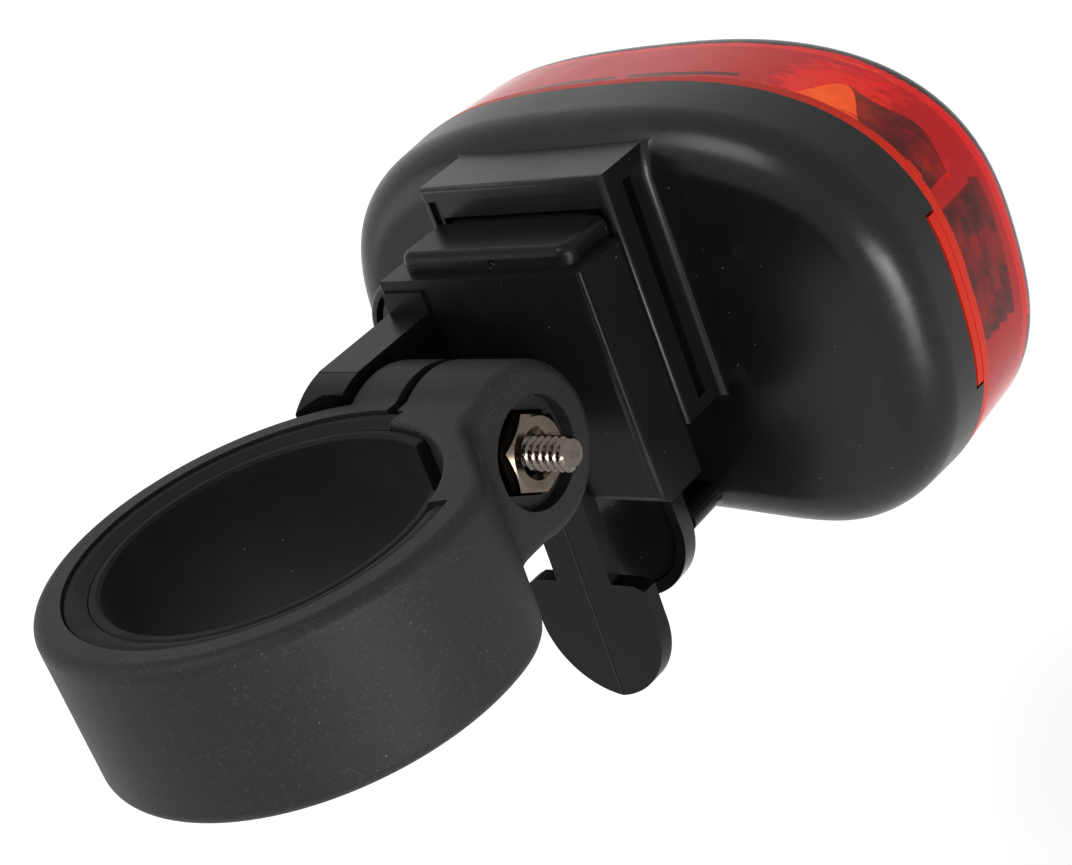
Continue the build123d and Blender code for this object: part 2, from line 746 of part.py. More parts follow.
    # Seam notch for prising the lens off
    with BuildSketch(Plane.XZ.offset(seam)):
        with Locations((-head_half_width, head_centre_z)):
            Rectangle(seam_notch_width, 2 * seam_notch_half)
    extrude(amount=-seam_notch_depth, mode=Mode.SUBTRACT)
back_shell.part.label = "back_shell"
export_step(back_shell.part, "parts/back_shell.step")

# Rubber push button
button_face = collar_front + button_sink
button_cap_back = shell_floor + running_gap
plunger_tip = board_back - switch_height - plunger_height
with BuildPart() as push_button:
    with BuildSketch(Plane.XZ.offset(button_face)):
        with Locations((button_x, button_z)):
            Circle(button_r)
    extrude(amount=button_cap_back - button_face + 0.01)
    fillet(push_button.edges().sort_by(Axis.Y)[-1], rim_edge_round)
    with BuildSketch(Plane.XZ.offset(button_cap_back)):
        with Locations((button_x, button_z)):
            Circle(button_flange_r)
    extrude(amount=button_flange_thick)
    with BuildSketch(Plane.XZ.offset(button_cap_back)):
        with Locations((button_x, button_z)):
            Circle(button_stem_r)
    extrude(amount=plunger_tip - button_travel - switch_play - button_cap_back)
push_button.part.label = "push_button"
export_step(push_button.part, "parts/push_button.step")

# Lens: crowned shell with a skirt that plugs into the back shell
skirt_back = seam - skirt_length
with BuildPart() as lens_core:
    with BuildSketch(Plane.XZ.offset(skirt_back)):
        with BuildLine():
            Spline(*head_outline(skirt_inset + skirt_wall), periodic=True)
        make_face()
    extrude(amount=skirt_length + lens_wall)
    with BuildSketch(Plane.XZ.offset(seam + lens_wall)):
        with BuildLine():
            Spline(*head_outline(lens_wall), periodic=True)
        make_face()
    extrude(amount=lens_depth - lens_wall)
    with BuildSketch(Plane.YZ.offset(-head_half_width)):
        with Locations((-lens_front + lens_crown_r, head_centre_z)):
            Circle(lens_crown_r - lens_wall)
    extrude(amount=2 * head_half_width, mode=Mode.INTERSECT)
    fillet(lens_core.faces().sort_by(Axis.Y)[0].edges(), lens_edge_r - lens_wall)
with BuildPart() as lens:
    with BuildSketch(Plane.XZ.offset(seam)):
        with BuildLine():
            Spline(*head_outline(0), periodic=True)
        make_face()
    with BuildSketch(Plane.XZ.offset(lens_front)):
        with BuildLine():
            Spline(*head_outline(lens_draft), periodic=True)
        make_face()
    loft(ruled=True)
    with BuildSketch(Plane.YZ.offset(-head_half_width)):
        with Locations((-lens_front + lens_crown_r, head_centre_z)):
            Circle(lens_crown_r)
    extrude(amount=2 * head_half_width, mode=Mode.INTERSECT)
    fillet(lens.faces().sort_by(Axis.Y)[0].edges(), lens_edge_r)
    with BuildSketch(Plane.XZ.offset(skirt_back)):
        with BuildLine():
            Spline(*head_outline(skirt_inset), periodic=True)
        make_face()
    extrude(amount=skirt_length + lens_wall)
    add(lens_core.part, mode=Mode.SUBTRACT)
    # Tab that fills the shell's seam notch
    with BuildSketch(Plane.XZ.offset(seam - seam_notch_depth + running_gap)):
        with BuildLine():
            Spline(*head_outline(tab_inset), periodic=True)
        make_face()
        with BuildLine():
            Spline(*head_outline(lens_wall + tab_inset), periodic=True)
        make_face(mode=Mode.SUBTRACT)
        with Locations((-head_half_width, head_centre_z)):
            Rectangle(seam_notch_width, 2 * (seam_notch_half - running_gap), mode=Mode.INTERSECT)
    extrude(amount=seam_notch_depth - running_gap + tab_bite)
lens.part.label = "lens"
export_step(lens.part, "parts/lens.step")

# Seal between the lens skirt and the shell's ledge
with BuildPart() as lens_seal:
    with BuildSketch(Plane.XZ.offset(ledge_back + seat_ledge_thick)):
        with BuildLine():
            Spline(*head_outline(shell_wall + seal_play), periodic=True)
        make_face()
        with BuildLine():
            Spline(*head_outline(shell_wall + seal_play + seal_section), periodic=True)
        make_face(mode=Mode.SUBTRACT)
    extrude(amount=seal_section)
    fillet(lens_seal.faces().sort_by(Axis.Y)[0].edges(), seal_section * 0.25)
lens_seal.part.label = "lens_seal"
export_step(lens_seal.part, "parts/lens_seal.step")

# Battery tray: an open frame with a rib between the cells
with BuildPart() as battery_tray:
    with BuildSketch(Plane.XZ.offset(shell_floor)):
        with Locations((tray_middle, head_centre_z)):
            Rectangle(2 * (tray_half_length + tray_wall), 2 * (tray_half_height + tray_wall))
    extrude(amount=tray_front - shell_floor)
    fillet(battery_tray.edges().filter_by(Axis.Y), tray_corner_r)
    # Bevel where the end wall meets the shell's rounded shoulder
    tray_end = tray_left - tray_wall
    with BuildSketch(Plane.XY.offset(head_centre_z - tray_half_height - tray_wall)):
        with BuildLine():
            Polyline(
                (tray_end, -shell_floor),
                (tray_end + tray_back_bevel, -shell_floor),
                (tray_end, -shell_floor - tray_back_bevel),
                close=True,
            )
        make_face()
    extrude(amount=2 * (tray_half_height + tray_wall), mode=Mode.SUBTRACT)
    with BuildSketch(Plane.XZ.offset(shell_floor)):
        with Locations((tray_middle, head_centre_z)):
            Rectangle(2 * tray_half_length, 2 * tray_half_height)
            cell_rib = battery_pitch - battery_d - 2 * cell_rib_play
            Rectangle(2 * (tray_half_length - contact_thick), cell_rib, mode=Mode.SUBTRACT)
    extrude(amount=tray_front - shell_floor, mode=Mode.SUBTRACT)
battery_tray.part.label = "battery_tray"
export_step(battery_tray.part, "parts/battery_tray.step")

# Cell of the upper row, its nub towards +X; the lower one is turned the other way round
with BuildPart() as battery_upper:
    shoulder_x = battery_nub_end - battery_nub_length
    with BuildSketch(Plane.XY.offset(upper_row)):
        with BuildLine():
            Polyline(
                (battery_flat_end, -battery_reach),
                (battery_flat_end, -battery_reach + battery_r),
                (shoulder_x, -battery_reach + battery_r),
                (shoulder_x, -battery_reach + battery_nub_r),
                (battery_nub_end, -battery_reach + battery_nub_r),
                (battery_nub_end, -battery_reach),
                close=True,
            )
        make_face()
    revolve(axis=Axis((0, -battery_reach, upper_row), (1, 0, 0)))
    rims = battery_upper.edges().filter_by(GeomType.CIRCLE).filter_by(lambda e: e.radius > battery_nub_r + 0.1)
    fillet(rims, battery_round)
battery_upper.part.label = "battery_upper"
export_step(battery_upper.part, "parts/battery_upper.step")
turn_axis = Axis((tray_middle, 0, head_centre_z), (0, 1, 0))
battery_lower = battery_upper.part.rotate(turn_axis, 180)
battery_lower.label = "battery_lower"
export_step(battery_lower, "parts/battery_lower.step")

# Circuit board with rounded corners and screw holes
with BuildPart() as circuit_board:
    with BuildSketch(Plane.XZ.offset(board_back)):
        with Locations((0, head_centre_z)):
            RectangleRounded(2 * board_half_width, 2 * board_half_height, board_corner_r)
        with Locations(*boss_places):
            Circle(board_screw_r + running_gap, mode=Mode.SUBTRACT)
    extrude(amount=board_thick)
circuit_board.part.label = "circuit_board"
export_step(circuit_board.part, "parts/circuit_board.step")

# Row of light-emitting diodes with collars
with BuildPart() as leds:
    with BuildSketch(Plane.XZ.offset(board_front)):
        with Locations((0, head_centre_z)):
            with GridLocations(led_pitch, 0, led_count, 1):
                Circle(led_collar_r)
    extrude(amount=led_collar_height)
    with BuildSketch(Plane.XZ.offset(board_front)):
        with Locations((0, head_centre_z)):
            with GridLocations(led_pitch, 0, led_count, 1):
                Circle(led_r)
    extrude(amount=led_height)
    dome_rims = leds.edges().filter_by(lambda e: abs(e.center().Y + board_front + led_height) < 0.01)
    fillet(dome_rims, led_dome)
leds.part.label = "leds"
export_step(leds.part, "parts/leds.step")

# Reflector: a tray on the board with a conical cup round each diode
reflector_front = board_front + reflector_depth
with BuildPart() as reflector:
    with BuildSketch(Plane.XZ.offset(board_front)):
        with Locations((0, head_centre_z)):
            RectangleRounded(2 * reflector_half_width, 2 * reflector_half_height, reflector_corner_r)
    extrude(amount=reflector_depth)
    with BuildSketch(Plane.XZ.offset(board_front)):
        with Locations((0, head_centre_z)):
            RectangleRounded(
                2 * (reflector_half_width - reflector_wall),
                2 * (reflector_half_height - reflector_wall),
                reflector_corner_r - reflector_wall,
            )
    extrude(amount=reflector_depth - reflector_wall, mode=Mode.SUBTRACT)
    with BuildSketch(Plane.XZ.offset(board_front + led_collar_height + cup_play)):
        with Locations((0, head_centre_z)):
            with GridLocations(led_pitch, 0, led_count, 1):
                Circle(led_r + cup_play + reflector_wall)
    extrude(amount=reflector_depth - led_collar_height - cup_play, taper=-cup_slope)
    with BuildSketch(Plane.XZ.offset(board_front + led_collar_height + cup_play)):
        with Locations((0, head_centre_z)):
            with GridLocations(led_pitch, 0, led_count, 1):
                Circle(led_r + cup_play)
    extrude(amount=reflector_depth - led_collar_height - cup_play, taper=-cup_slope, mode=Mode.SUBTRACT)
reflector.part.label = "reflector"
export_step(reflector.part, "parts/reflector.step")

# Tact switch behind the button
with BuildPart() as tact_switch:
    with BuildSketch(Plane.XZ.offset(board_back - switch_height)):
        with Locations((button_x, button_z)):
            Rectangle(switch_width, switch_width)
    extrude(amount=switch_height)
    with BuildSketch(Plane.XZ.offset(plunger_tip)):
        with Locations((button_x, button_z)):
            Circle(plunger_r)
    extrude(amount=plunger_height)
tact_switch.part.label = "tact_switch"
export_step(tact_switch.part, "parts/tact_switch.step")

# Control chip with its gull-wing legs
with BuildPart() as control_chip:
    with BuildSketch(Plane.XZ.offset(board_back - chip_height)):
        with Locations((chip_x, chip_z)):
            Rectangle(chip_width, chip_length)
    extrude(amount=chip_height - chip_stand)
    with BuildSketch(Plane.XZ.offset(board_back - chip_height / 2)):
        with Locations((chip_x, chip_z)):
            with GridLocations(0, chip_leg_pitch, 1, chip_leg_rows):
                Rectangle(chip_width + 2 * chip_leg_length, chip_leg_width)
    extrude(amount=chip_height / 2)
control_chip.part.label = "control_chip"
export_step(control_chip.part, "parts/control_chip.step")

# Pair of screws that hold the board to the tray's bosses
with BuildPart() as board_screws:
    with BuildSketch(Plane.XZ.offset(board_front)):
        with Locations(*boss_places):
            Circle(board_screw_head_r)
    extrude(amount=board_screw_head_height)
    head_rims = board_screws.edges().filter_by(lambda e: e.center().Y < -board_front - 0.1)
    fillet(head_rims, board_screw_head_height * 0.5)
    with BuildSketch(Plane.XZ.offset(board_front)):
        with Locations(*boss_places):
            Circle(board_screw_r)
    extrude(amount=-board_screw_length)
board_screws.part.label = "board_screws"
export_step(board_screws.part, "parts/board_screws.step")

# Coil springs at the flat ends of the cells
with BuildPart() as contact_springs:
    with BuildLine():
        coil = Helix(
            pitch=(spring_room - 2 * spring_wire_r) / spring_turns,
            height=spring_room - 2 * spring_wire_r,
            radius=spring_coil_r,
            center=(tray_left + contact_thick + spring_wire_r, -battery_reach, upper_row),
            direction=(1, 0, 0),
        )
    with BuildSketch(Plane(origin=coil @ 0, z_dir=coil % 0)):
        Circle(spring_wire_r)
    sweep(path=coil)
    upper_spring = contact_springs.part
    add(upper_spring.rotate(turn_axis, 180))
contact_springs.part.label = "contact_springs"
export_step(contact_springs.part, "parts/contact_springs.step")

# Contact plates at both ends of the tray
with BuildPart() as contact_plates:
    with BuildSketch(Plane.YZ.offset(tray_left)):
        with Locations((-battery_reach, head_centre_z)):
            Rectangle(contact_width, battery_pitch + contact_width)
    extrude(amount=contact_thick)
    with BuildSketch(Plane.YZ.offset(tray_right - contact_thick)):
        with Locations((-battery_reach, upper_row), (-battery_reach, lower_row)):
            Rectangle(contact_width, contact_width)
    extrude(amount=contact_thick)
contact_plates.part.label = "contact_plates"
export_step(contact_plates.part, "parts/contact_plates.step")
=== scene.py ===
"""Scene of a bicycle tail light on a quick-release post clamp.

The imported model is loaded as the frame. Each sub-assembly is a class that dresses its nodes and
adds the pieces that the solids leave out, and a studio class makes the floor, lights and camera.
Everything is in metres, in the model's own frame: +Z up the post, the lamp facing -Y.
"""

import logging
import math
from dataclasses import dataclass, field
from enum import Enum
from typing import Any, Callable, Optional, Protocol, Union

import bmesh
import bpy
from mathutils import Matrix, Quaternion, Vector
from mathutils.bvhtree import BVHTree


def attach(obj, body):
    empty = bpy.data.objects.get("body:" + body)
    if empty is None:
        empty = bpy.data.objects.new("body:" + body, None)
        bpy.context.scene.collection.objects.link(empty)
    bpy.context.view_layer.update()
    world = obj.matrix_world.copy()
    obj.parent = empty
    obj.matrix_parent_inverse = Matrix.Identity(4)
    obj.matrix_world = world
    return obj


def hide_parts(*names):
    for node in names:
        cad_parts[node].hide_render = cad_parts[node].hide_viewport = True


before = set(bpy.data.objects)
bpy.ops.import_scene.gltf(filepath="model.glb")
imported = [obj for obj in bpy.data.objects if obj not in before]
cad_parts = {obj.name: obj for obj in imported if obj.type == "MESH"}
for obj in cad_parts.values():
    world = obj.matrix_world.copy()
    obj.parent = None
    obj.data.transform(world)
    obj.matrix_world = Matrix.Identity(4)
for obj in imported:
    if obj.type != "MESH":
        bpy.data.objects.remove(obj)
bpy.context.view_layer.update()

LOG = logging.getLogger("tail_light")
MM = 0.001
SCREW_REACH = 24.8 * MM  # From the post's axis to the clamp screw's, along -Y.

Colour = tuple[float, float, float]
Point = tuple[float, float, float]
Span = tuple[float, float]
Corners = list[bmesh.types.BMVert]
Values = dict[Union[int, str], Any]


class Grain(Enum):
    """Grain of a moulded face: its feature size and depth in metres."""

    SPARKED = (0.26 * MM, 0.04 * MM)
    SATIN = (0.4 * MM, 0.004 * MM)
    POLISHED = (1.2 * MM, 0.002 * MM)


class Signal:
    """A shader socket that sums can be written on."""

    def __init__(self, shader: "Shader", socket: bpy.types.NodeSocket) -> None:
        """Wraps an output socket of one of the shader's nodes."""
        self.shader = shader
        self.socket = socket

    def _maths(self, operation: str, first: Any, second: Any = None) -> "Signal":
        """Adds a Math node for one or two values or signals."""
        values = {0: first} if second is None else {0: first, 1: second}
        return self.shader.node("ShaderNodeMath", {"operation": operation}, values).out()

    def __add__(self, other: Any) -> "Signal":
        """Sum."""
        return self._maths("ADD", self, other)

    def __radd__(self, other: Any) -> "Signal":
        """Sum with the number first."""
        return self._maths("ADD", other, self)

    def __sub__(self, other: Any) -> "Signal":
        """Difference."""
        return self._maths("SUBTRACT", self, other)

    def __rsub__(self, other: Any) -> "Signal":
        """Difference with the number first."""
        return self._maths("SUBTRACT", other, self)

    def __mul__(self, other: Any) -> "Signal":
        """Product."""
        return self._maths("MULTIPLY", self, other)

    def __rmul__(self, other: Any) -> "Signal":
        """Product with the number first."""
        return self._maths("MULTIPLY", other, self)

    def __truediv__(self, other: Any) -> "Signal":
        """Quotient."""
        return self._maths("DIVIDE", self, other)

    def __rtruediv__(self, other: Any) -> "Signal":
        """Quotient with the number first."""
        return self._maths("DIVIDE", other, self)

    def __lt__(self, other: Any) -> "Signal":
        """1 where this is smaller, 0 elsewhere."""
        return self._maths("LESS_THAN", self, other)

    def __gt__(self, other: Any) -> "Signal":
        """1 where this is larger, 0 elsewhere, also for a number < this."""
        return self._maths("GREATER_THAN", self, other)

    def __abs__(self) -> "Signal":
        """Size without its sign."""
        return self._maths("ABSOLUTE", self)

    def larger(self, other: Any) -> "Signal":
        """The larger of the two."""
        return self._maths("MAXIMUM", self, other)

    def ramp(self, low: float, high: float, to_low: float = 0.0, to_high: float = 1.0) -> "Signal":
        """Smooth step from to_low at low to to_high at high.

        Args:
            low: Where the step starts.
            high: Where it ends.
            to_low: The value before it.
            to_high: The value after it.

        Returns:
            The stepped signal.
        """
        settings = {"interpolation_type": "SMOOTHSTEP"}
        values = {0: self, 1: low, 2: high, 3: to_low, 4: to_high}
        return self.shader.node("ShaderNodeMapRange", settings, values).out()


class NodeHandle:
    """A shader node with easy access to its outputs."""

    def __init__(self, shader: "Shader", node: bpy.types.Node) -> None:
        """Wraps one of the shader's nodes."""
        self.shader = shader
        self.node = node

    def out(self, name: Union[int, str] = 0) -> Signal:
        """The output of this name or number."""
        return Signal(self.shader, self.node.outputs[name])


class Shader:
    """Node tree of one material or world."""

    def __init__(self, tree: bpy.types.NodeTree) -> None:
        """Takes a node tree to fill and empties it."""
        self.tree = tree
        self.tree.nodes.clear()

    def node(
        self, kind: str, settings: Optional[dict[str, Any]] = None, values: Optional[Values] = None
    ) -> NodeHandle:
        """Makes any node.

        Args:
            kind: The node's type.
            settings: Properties that are set first.
            values: Numbers, colours or signals for the sockets, by name or number.

        Returns:
            The new node.
        """
        made = self.tree.nodes.new(kind)
        for key, value in (settings or {}).items():
            setattr(made, key, value)
        for key, value in (values or {}).items():
            self.feed(made.inputs[key], value)
        return NodeHandle(self, made)

    def feed(self, socket: bpy.types.NodeSocket, value: Any) -> None:
        """Links a signal to a socket, or sets the socket's value.

        Args:
            socket: The input socket.
            value: A signal, a number or a colour.
        """
        if isinstance(value, Signal):
            self.tree.links.new(value.socket, socket)
        else:
            socket.default_value = value

    def place(self) -> Signal:
        """Point on the object in its own metres."""
        return self.node("ShaderNodeTexCoord").out("Object")

    def axis(self, name: str) -> Signal:
        """One coordinate of the point, "X", "Y" or "Z"."""
        return self.node("ShaderNodeSeparateXYZ", None, {0: self.place()}).out(name)

    def vector_maths(self, operation: str, values: Values) -> NodeHandle:
        """Adds a Vector Math node with these values."""
        return self.node("ShaderNodeVectorMath", {"operation": operation}, values)

    def noise(self, size: float, detail: float = 2.0, stretch: Point = (1.0, 1.0, 1.0)) -> Signal:
        """Noise with features of about this size.

        Args:
            size: Feature size in metres.
            detail: Octaves of detail.
            stretch: Factors on the coordinates; a small one draws the noise out along its axis.

        Returns:
            The noise, from 0 to 1.
        """
        point = self.vector_maths("MULTIPLY", {0: self.place(), 1: stretch}).out()
        values = {"Vector": point, "Scale": 1.0 / size, "Detail": detail}
        return self.node("ShaderNodeTexNoise", None, values).out("Fac")

    def specks(self, spacing: float, share: float) -> Signal:
        """1 inside sparse spots, this far apart and with this share of it as their radius."""
        values = {"Vector": self.place(), "Scale": 1.0 / spacing, "Randomness": 1.0}
        return self.node("ShaderNodeTexVoronoi", None, values).out("Distance") < share

    def mix(self, mask: Any, first: Any, second: Any) -> Signal:
        """Colour between two others.

        Args:
            mask: 0 for the first colour, 1 for the second.
            first: A colour or signal.
            second: A colour or signal.

        Returns:
            The mixed colour.
        """
        handle = self.node("ShaderNodeMix", {"data_type": "RGBA"})
        inputs = (("Factor", "VALUE", mask), ("A", "RGBA", first), ("B", "RGBA", second))
        for name, kind, value in inputs:
            socket = next(s for s in handle.node.inputs if s.name == name and s.type == kind)
            self.feed(socket, (*value, 1.0) if isinstance(value, tuple) else value)
        output = next(s for s in handle.node.outputs if s.type == "RGBA")
        return Signal(self, output)

    def bump(self, height: Signal, depth: float, under: Optional[Signal] = None) -> Signal:
        """Normal that a height gives.

        Args:
            height: The height, from 0 to 1.
            depth: The depth in metres that 1 stands for.
            under: The normal that this one is laid over.

        Returns:
            The normal.
        """
        values: Values = {"Strength": 1.0, "Distance": depth, "Height": height}
        if under is not None:
            values["Normal"] = under
        return self.node("ShaderNodeBump", None, values).out()

    def principled(self, values: Values) -> Signal:
        """A Principled surface with these socket values."""
        return self.node("ShaderNodeBsdfPrincipled", None, values).out()

    def seen(self) -> Signal:
        """Tells what is seen from what lights the object.

        Returns:
            1 for rays from the camera, also by way of metal or glass, 0 for other light.
        """
        path = self.node("ShaderNodeLightPath")
        direct = path.out("Is Camera Ray").larger(path.out("Is Glossy Ray"))
        return direct.larger(path.out("Is Transmission Ray"))

    def close(self, signal: Signal, output: str = "ShaderNodeOutputMaterial") -> None:
        """Links a shader signal to an output node of this type."""
        self.node(output, None, {0: signal})


def new_shader(name: str) -> tuple[bpy.types.Material, Shader]:
    """Makes an empty material.

    Args:
        name: The material's name.

    Returns:
        The material and the shader that fills it.
    """
    material = bpy.data.materials.new(name)
    material.use_nodes = True
    return material, Shader(material.node_tree)


def scaled(colour: Colour, factor: float, lift: float = 0.0) -> Colour:
    """The colour times the factor, plus the lift."""
    red, green, blue = (factor * part + lift for part in colour)
    return red, green, blue


@dataclass(frozen=True)
class Dust:
    """Pale specks that lie in patches."""

    colour: Colour
    patch_size: float
    patch_range: Span
    spacing: float = 1.7 * MM
    share: float = 0.05

    def mask(self, shader: Shader) -> Signal:
        """1 inside a speck, 0 elsewhere."""
        patches = shader.noise(self.patch_size).ramp(*self.patch_range)
        return shader.specks(self.spacing, self.share) * patches


@dataclass(frozen=True)
class MouldedPlastic:
    """Black moulded plastic with its grain, cloudy gloss, scuffs, specks of dust and, on sparked
    grain, painted glints.
    """

    name: str
    colour: Colour
    gloss: float
    gloss_spread: float
    grain: Grain
    specular: float
    relief: Optional[Callable[[Shader], tuple[Signal, float]]] = None
    dust: Dust = Dust((0.28, 0.26, 0.24), patch_size=4.0 * MM, patch_range=(0.46, 0.58))
    dust_cover: float = 0.35
    cloud_size: float = 6.0 * MM
    cloud_factors: Span = (0.8, 1.25)
    scuff_size: float = 2.8 * MM
    scuff_stretch: Point = (1.0, 3.5, 0.6)
    scuff_range: Span = (0.62, 0.78)
    scuff_cover: float = 0.3
    scuff_factor: float = 2.2
    scuff_lift: float = 0.004
    scuff_dulling: float = 0.08
    speck_dulling: float = 0.2
    # Painted glints on sparked grain: size, range, cover and brightness of bright specks in the
    # colour.
    glint_size: float = 0.34 * MM
    glint_range: Span = (0.56, 0.74)
    glint_cover: float = 0.4
    glint_factor: float = 3.0
    wave_size: float = 9.0 * MM
    wave_depth: float = 0.06 * MM

    def material(self) -> bpy.types.Material:
        """Builds the material.

        Returns:
            The finished material.
        """
        material, shader = new_shader(self.name)
        grain_size, grain_depth = self.grain.value
        cloud = shader.noise(self.cloud_size, 4.0)
        scuff = shader.noise(self.scuff_size, 6.0, self.scuff_stretch).ramp(*self.scuff_range)
        speck = self.dust.mask(shader)
        dark, pale = (scaled(self.colour, factor) for factor in self.cloud_factors)
        scuff_colour = scaled(self.colour, self.scuff_factor, self.scuff_lift)
        base = shader.mix(scuff * self.scuff_cover, shader.mix(cloud, dark, pale), scuff_colour)
        # Painted glints: bright specks mixed into the colour of sparked grain stand in for light
        # glinting off the grain.
        if self.grain is Grain.SPARKED:
            glint = shader.noise(self.glint_size).ramp(*self.glint_range)
            painted_glint_colour = scaled(self.colour, self.glint_factor)
            base = shader.mix(glint * self.glint_cover, base, painted_glint_colour)
        normal = shader.bump(shader.noise(self.wave_size), self.wave_depth)
        normal = shader.bump(shader.noise(grain_size, 3.0), grain_depth, normal)
        if self.relief is not None:
            normal = shader.bump(*self.relief(shader), normal)
        cloudy = self.gloss + (cloud - 0.5) * self.gloss_spread
        surface = shader.principled(
            {
                "Base Color": shader.mix(speck * self.dust_cover, base, self.dust.colour),
                "Roughness": cloudy + scuff * self.scuff_dulling + speck * self.speck_dulling,
                "Specular IOR Level": self.specular,
                "Normal": normal,
            }
        )
        shader.close(surface)
        return material


@dataclass(frozen=True)
class MouldedRubber:
    """Black rubber: dull, with faint lines along its length, pale bloom and specks of dust."""

    name: str
    colour: Colour = (0.01, 0.01, 0.0098)
    dullness: float = 0.6
    specular: float = 0.35
    dust: Dust = Dust((0.22, 0.21, 0.2), patch_size=3.0 * MM, patch_range=(0.52, 0.62))
    dust_cover: float = 0.5
    bloom_size: float = 5.0 * MM
    bloom_range: Span = (0.4, 0.75)
    bloom_cover: float = 0.5
    bloom_factor: float = 1.9
    bloom_dulling: float = 0.16
    line_size: float = 0.7 * MM
    line_stretch: Point = (0.35, 0.35, 2.5)
    line_depth: float = 0.03 * MM
    grain_size: float = 0.16 * MM
    grain_depth: float = 0.008 * MM

    def material(self) -> bpy.types.Material:
        """Builds the material.

        Returns:
            The finished material.
        """
        material, shader = new_shader(self.name)
        bloom = shader.noise(self.bloom_size, 5.0).ramp(*self.bloom_range)
        speck = self.dust.mask(shader)
        bloom_colour = scaled(self.colour, self.bloom_factor)
        base = shader.mix(bloom * self.bloom_cover, self.colour, bloom_colour)
        lines = shader.noise(self.line_size, 3.0, self.line_stretch)
        normal = shader.bump(lines, self.line_depth)
        normal = shader.bump(shader.noise(self.grain_size), self.grain_depth, normal)
        surface = shader.principled(
            {
                "Base Color": shader.mix(speck * self.dust_cover, base, self.dust.colour),
                "Roughness": self.dullness + (bloom - 0.5) * self.bloom_dulling,
                "Specular IOR Level": self.specular,
                "Normal": normal,
            }
        )
        shader.close(surface)
        return material


@dataclass(frozen=True)
class PlatedSteel:
    """Plated steel with rolled streaks, fine pits and darker patches."""

    name: str
    colour: Colour
    tarnish: Colour
    gloss: float
    streak: Point = (1.0, 1.0, 1.0)
    cloud_size: float = 1.6 * MM
    stain_range: Span = (0.5, 0.75)
    cloud_dulling: float = 0.16
    stain_cover: float = 0.6
    streak_size: float = 0.25 * MM
    streak_depth: float = 0.006 * MM
    pit_size: float = 0.12 * MM
    pit_range: Span = (0.62, 0.72)
    pit_cover: float = 0.5
    pit_dulling: float = 0.15

    def material(self) -> bpy.types.Material:
        """Builds the material.

        Returns:
            The finished material.
        """
        material, shader = new_shader(self.name)
        cloud = shader.noise(self.cloud_size, 5.0)
        pits = shader.noise(self.pit_size, 3.0).ramp(*self.pit_range)
        stain = cloud.ramp(*self.stain_range) * self.stain_cover
        stained = shader.mix(stain, self.colour, self.tarnish)
        streaks = shader.noise(self.streak_size, 4.0, self.streak)
        surface = shader.principled(
            {
                "Base Color": shader.mix(pits * self.pit_cover, stained, self.tarnish),
                "Metallic": 1.0,
                "Roughness": self.gloss + cloud * self.cloud_dulling + pits * self.pit_dulling,
                "Normal": shader.bump(streaks, self.streak_depth),
            }
        )
        shader.close(surface)
        return material


@dataclass(frozen=True)
class GlarePatch:
    """Amber patch of painted glare on the lens: its middle and reach in metres."""

    centre: Point
    reach: float


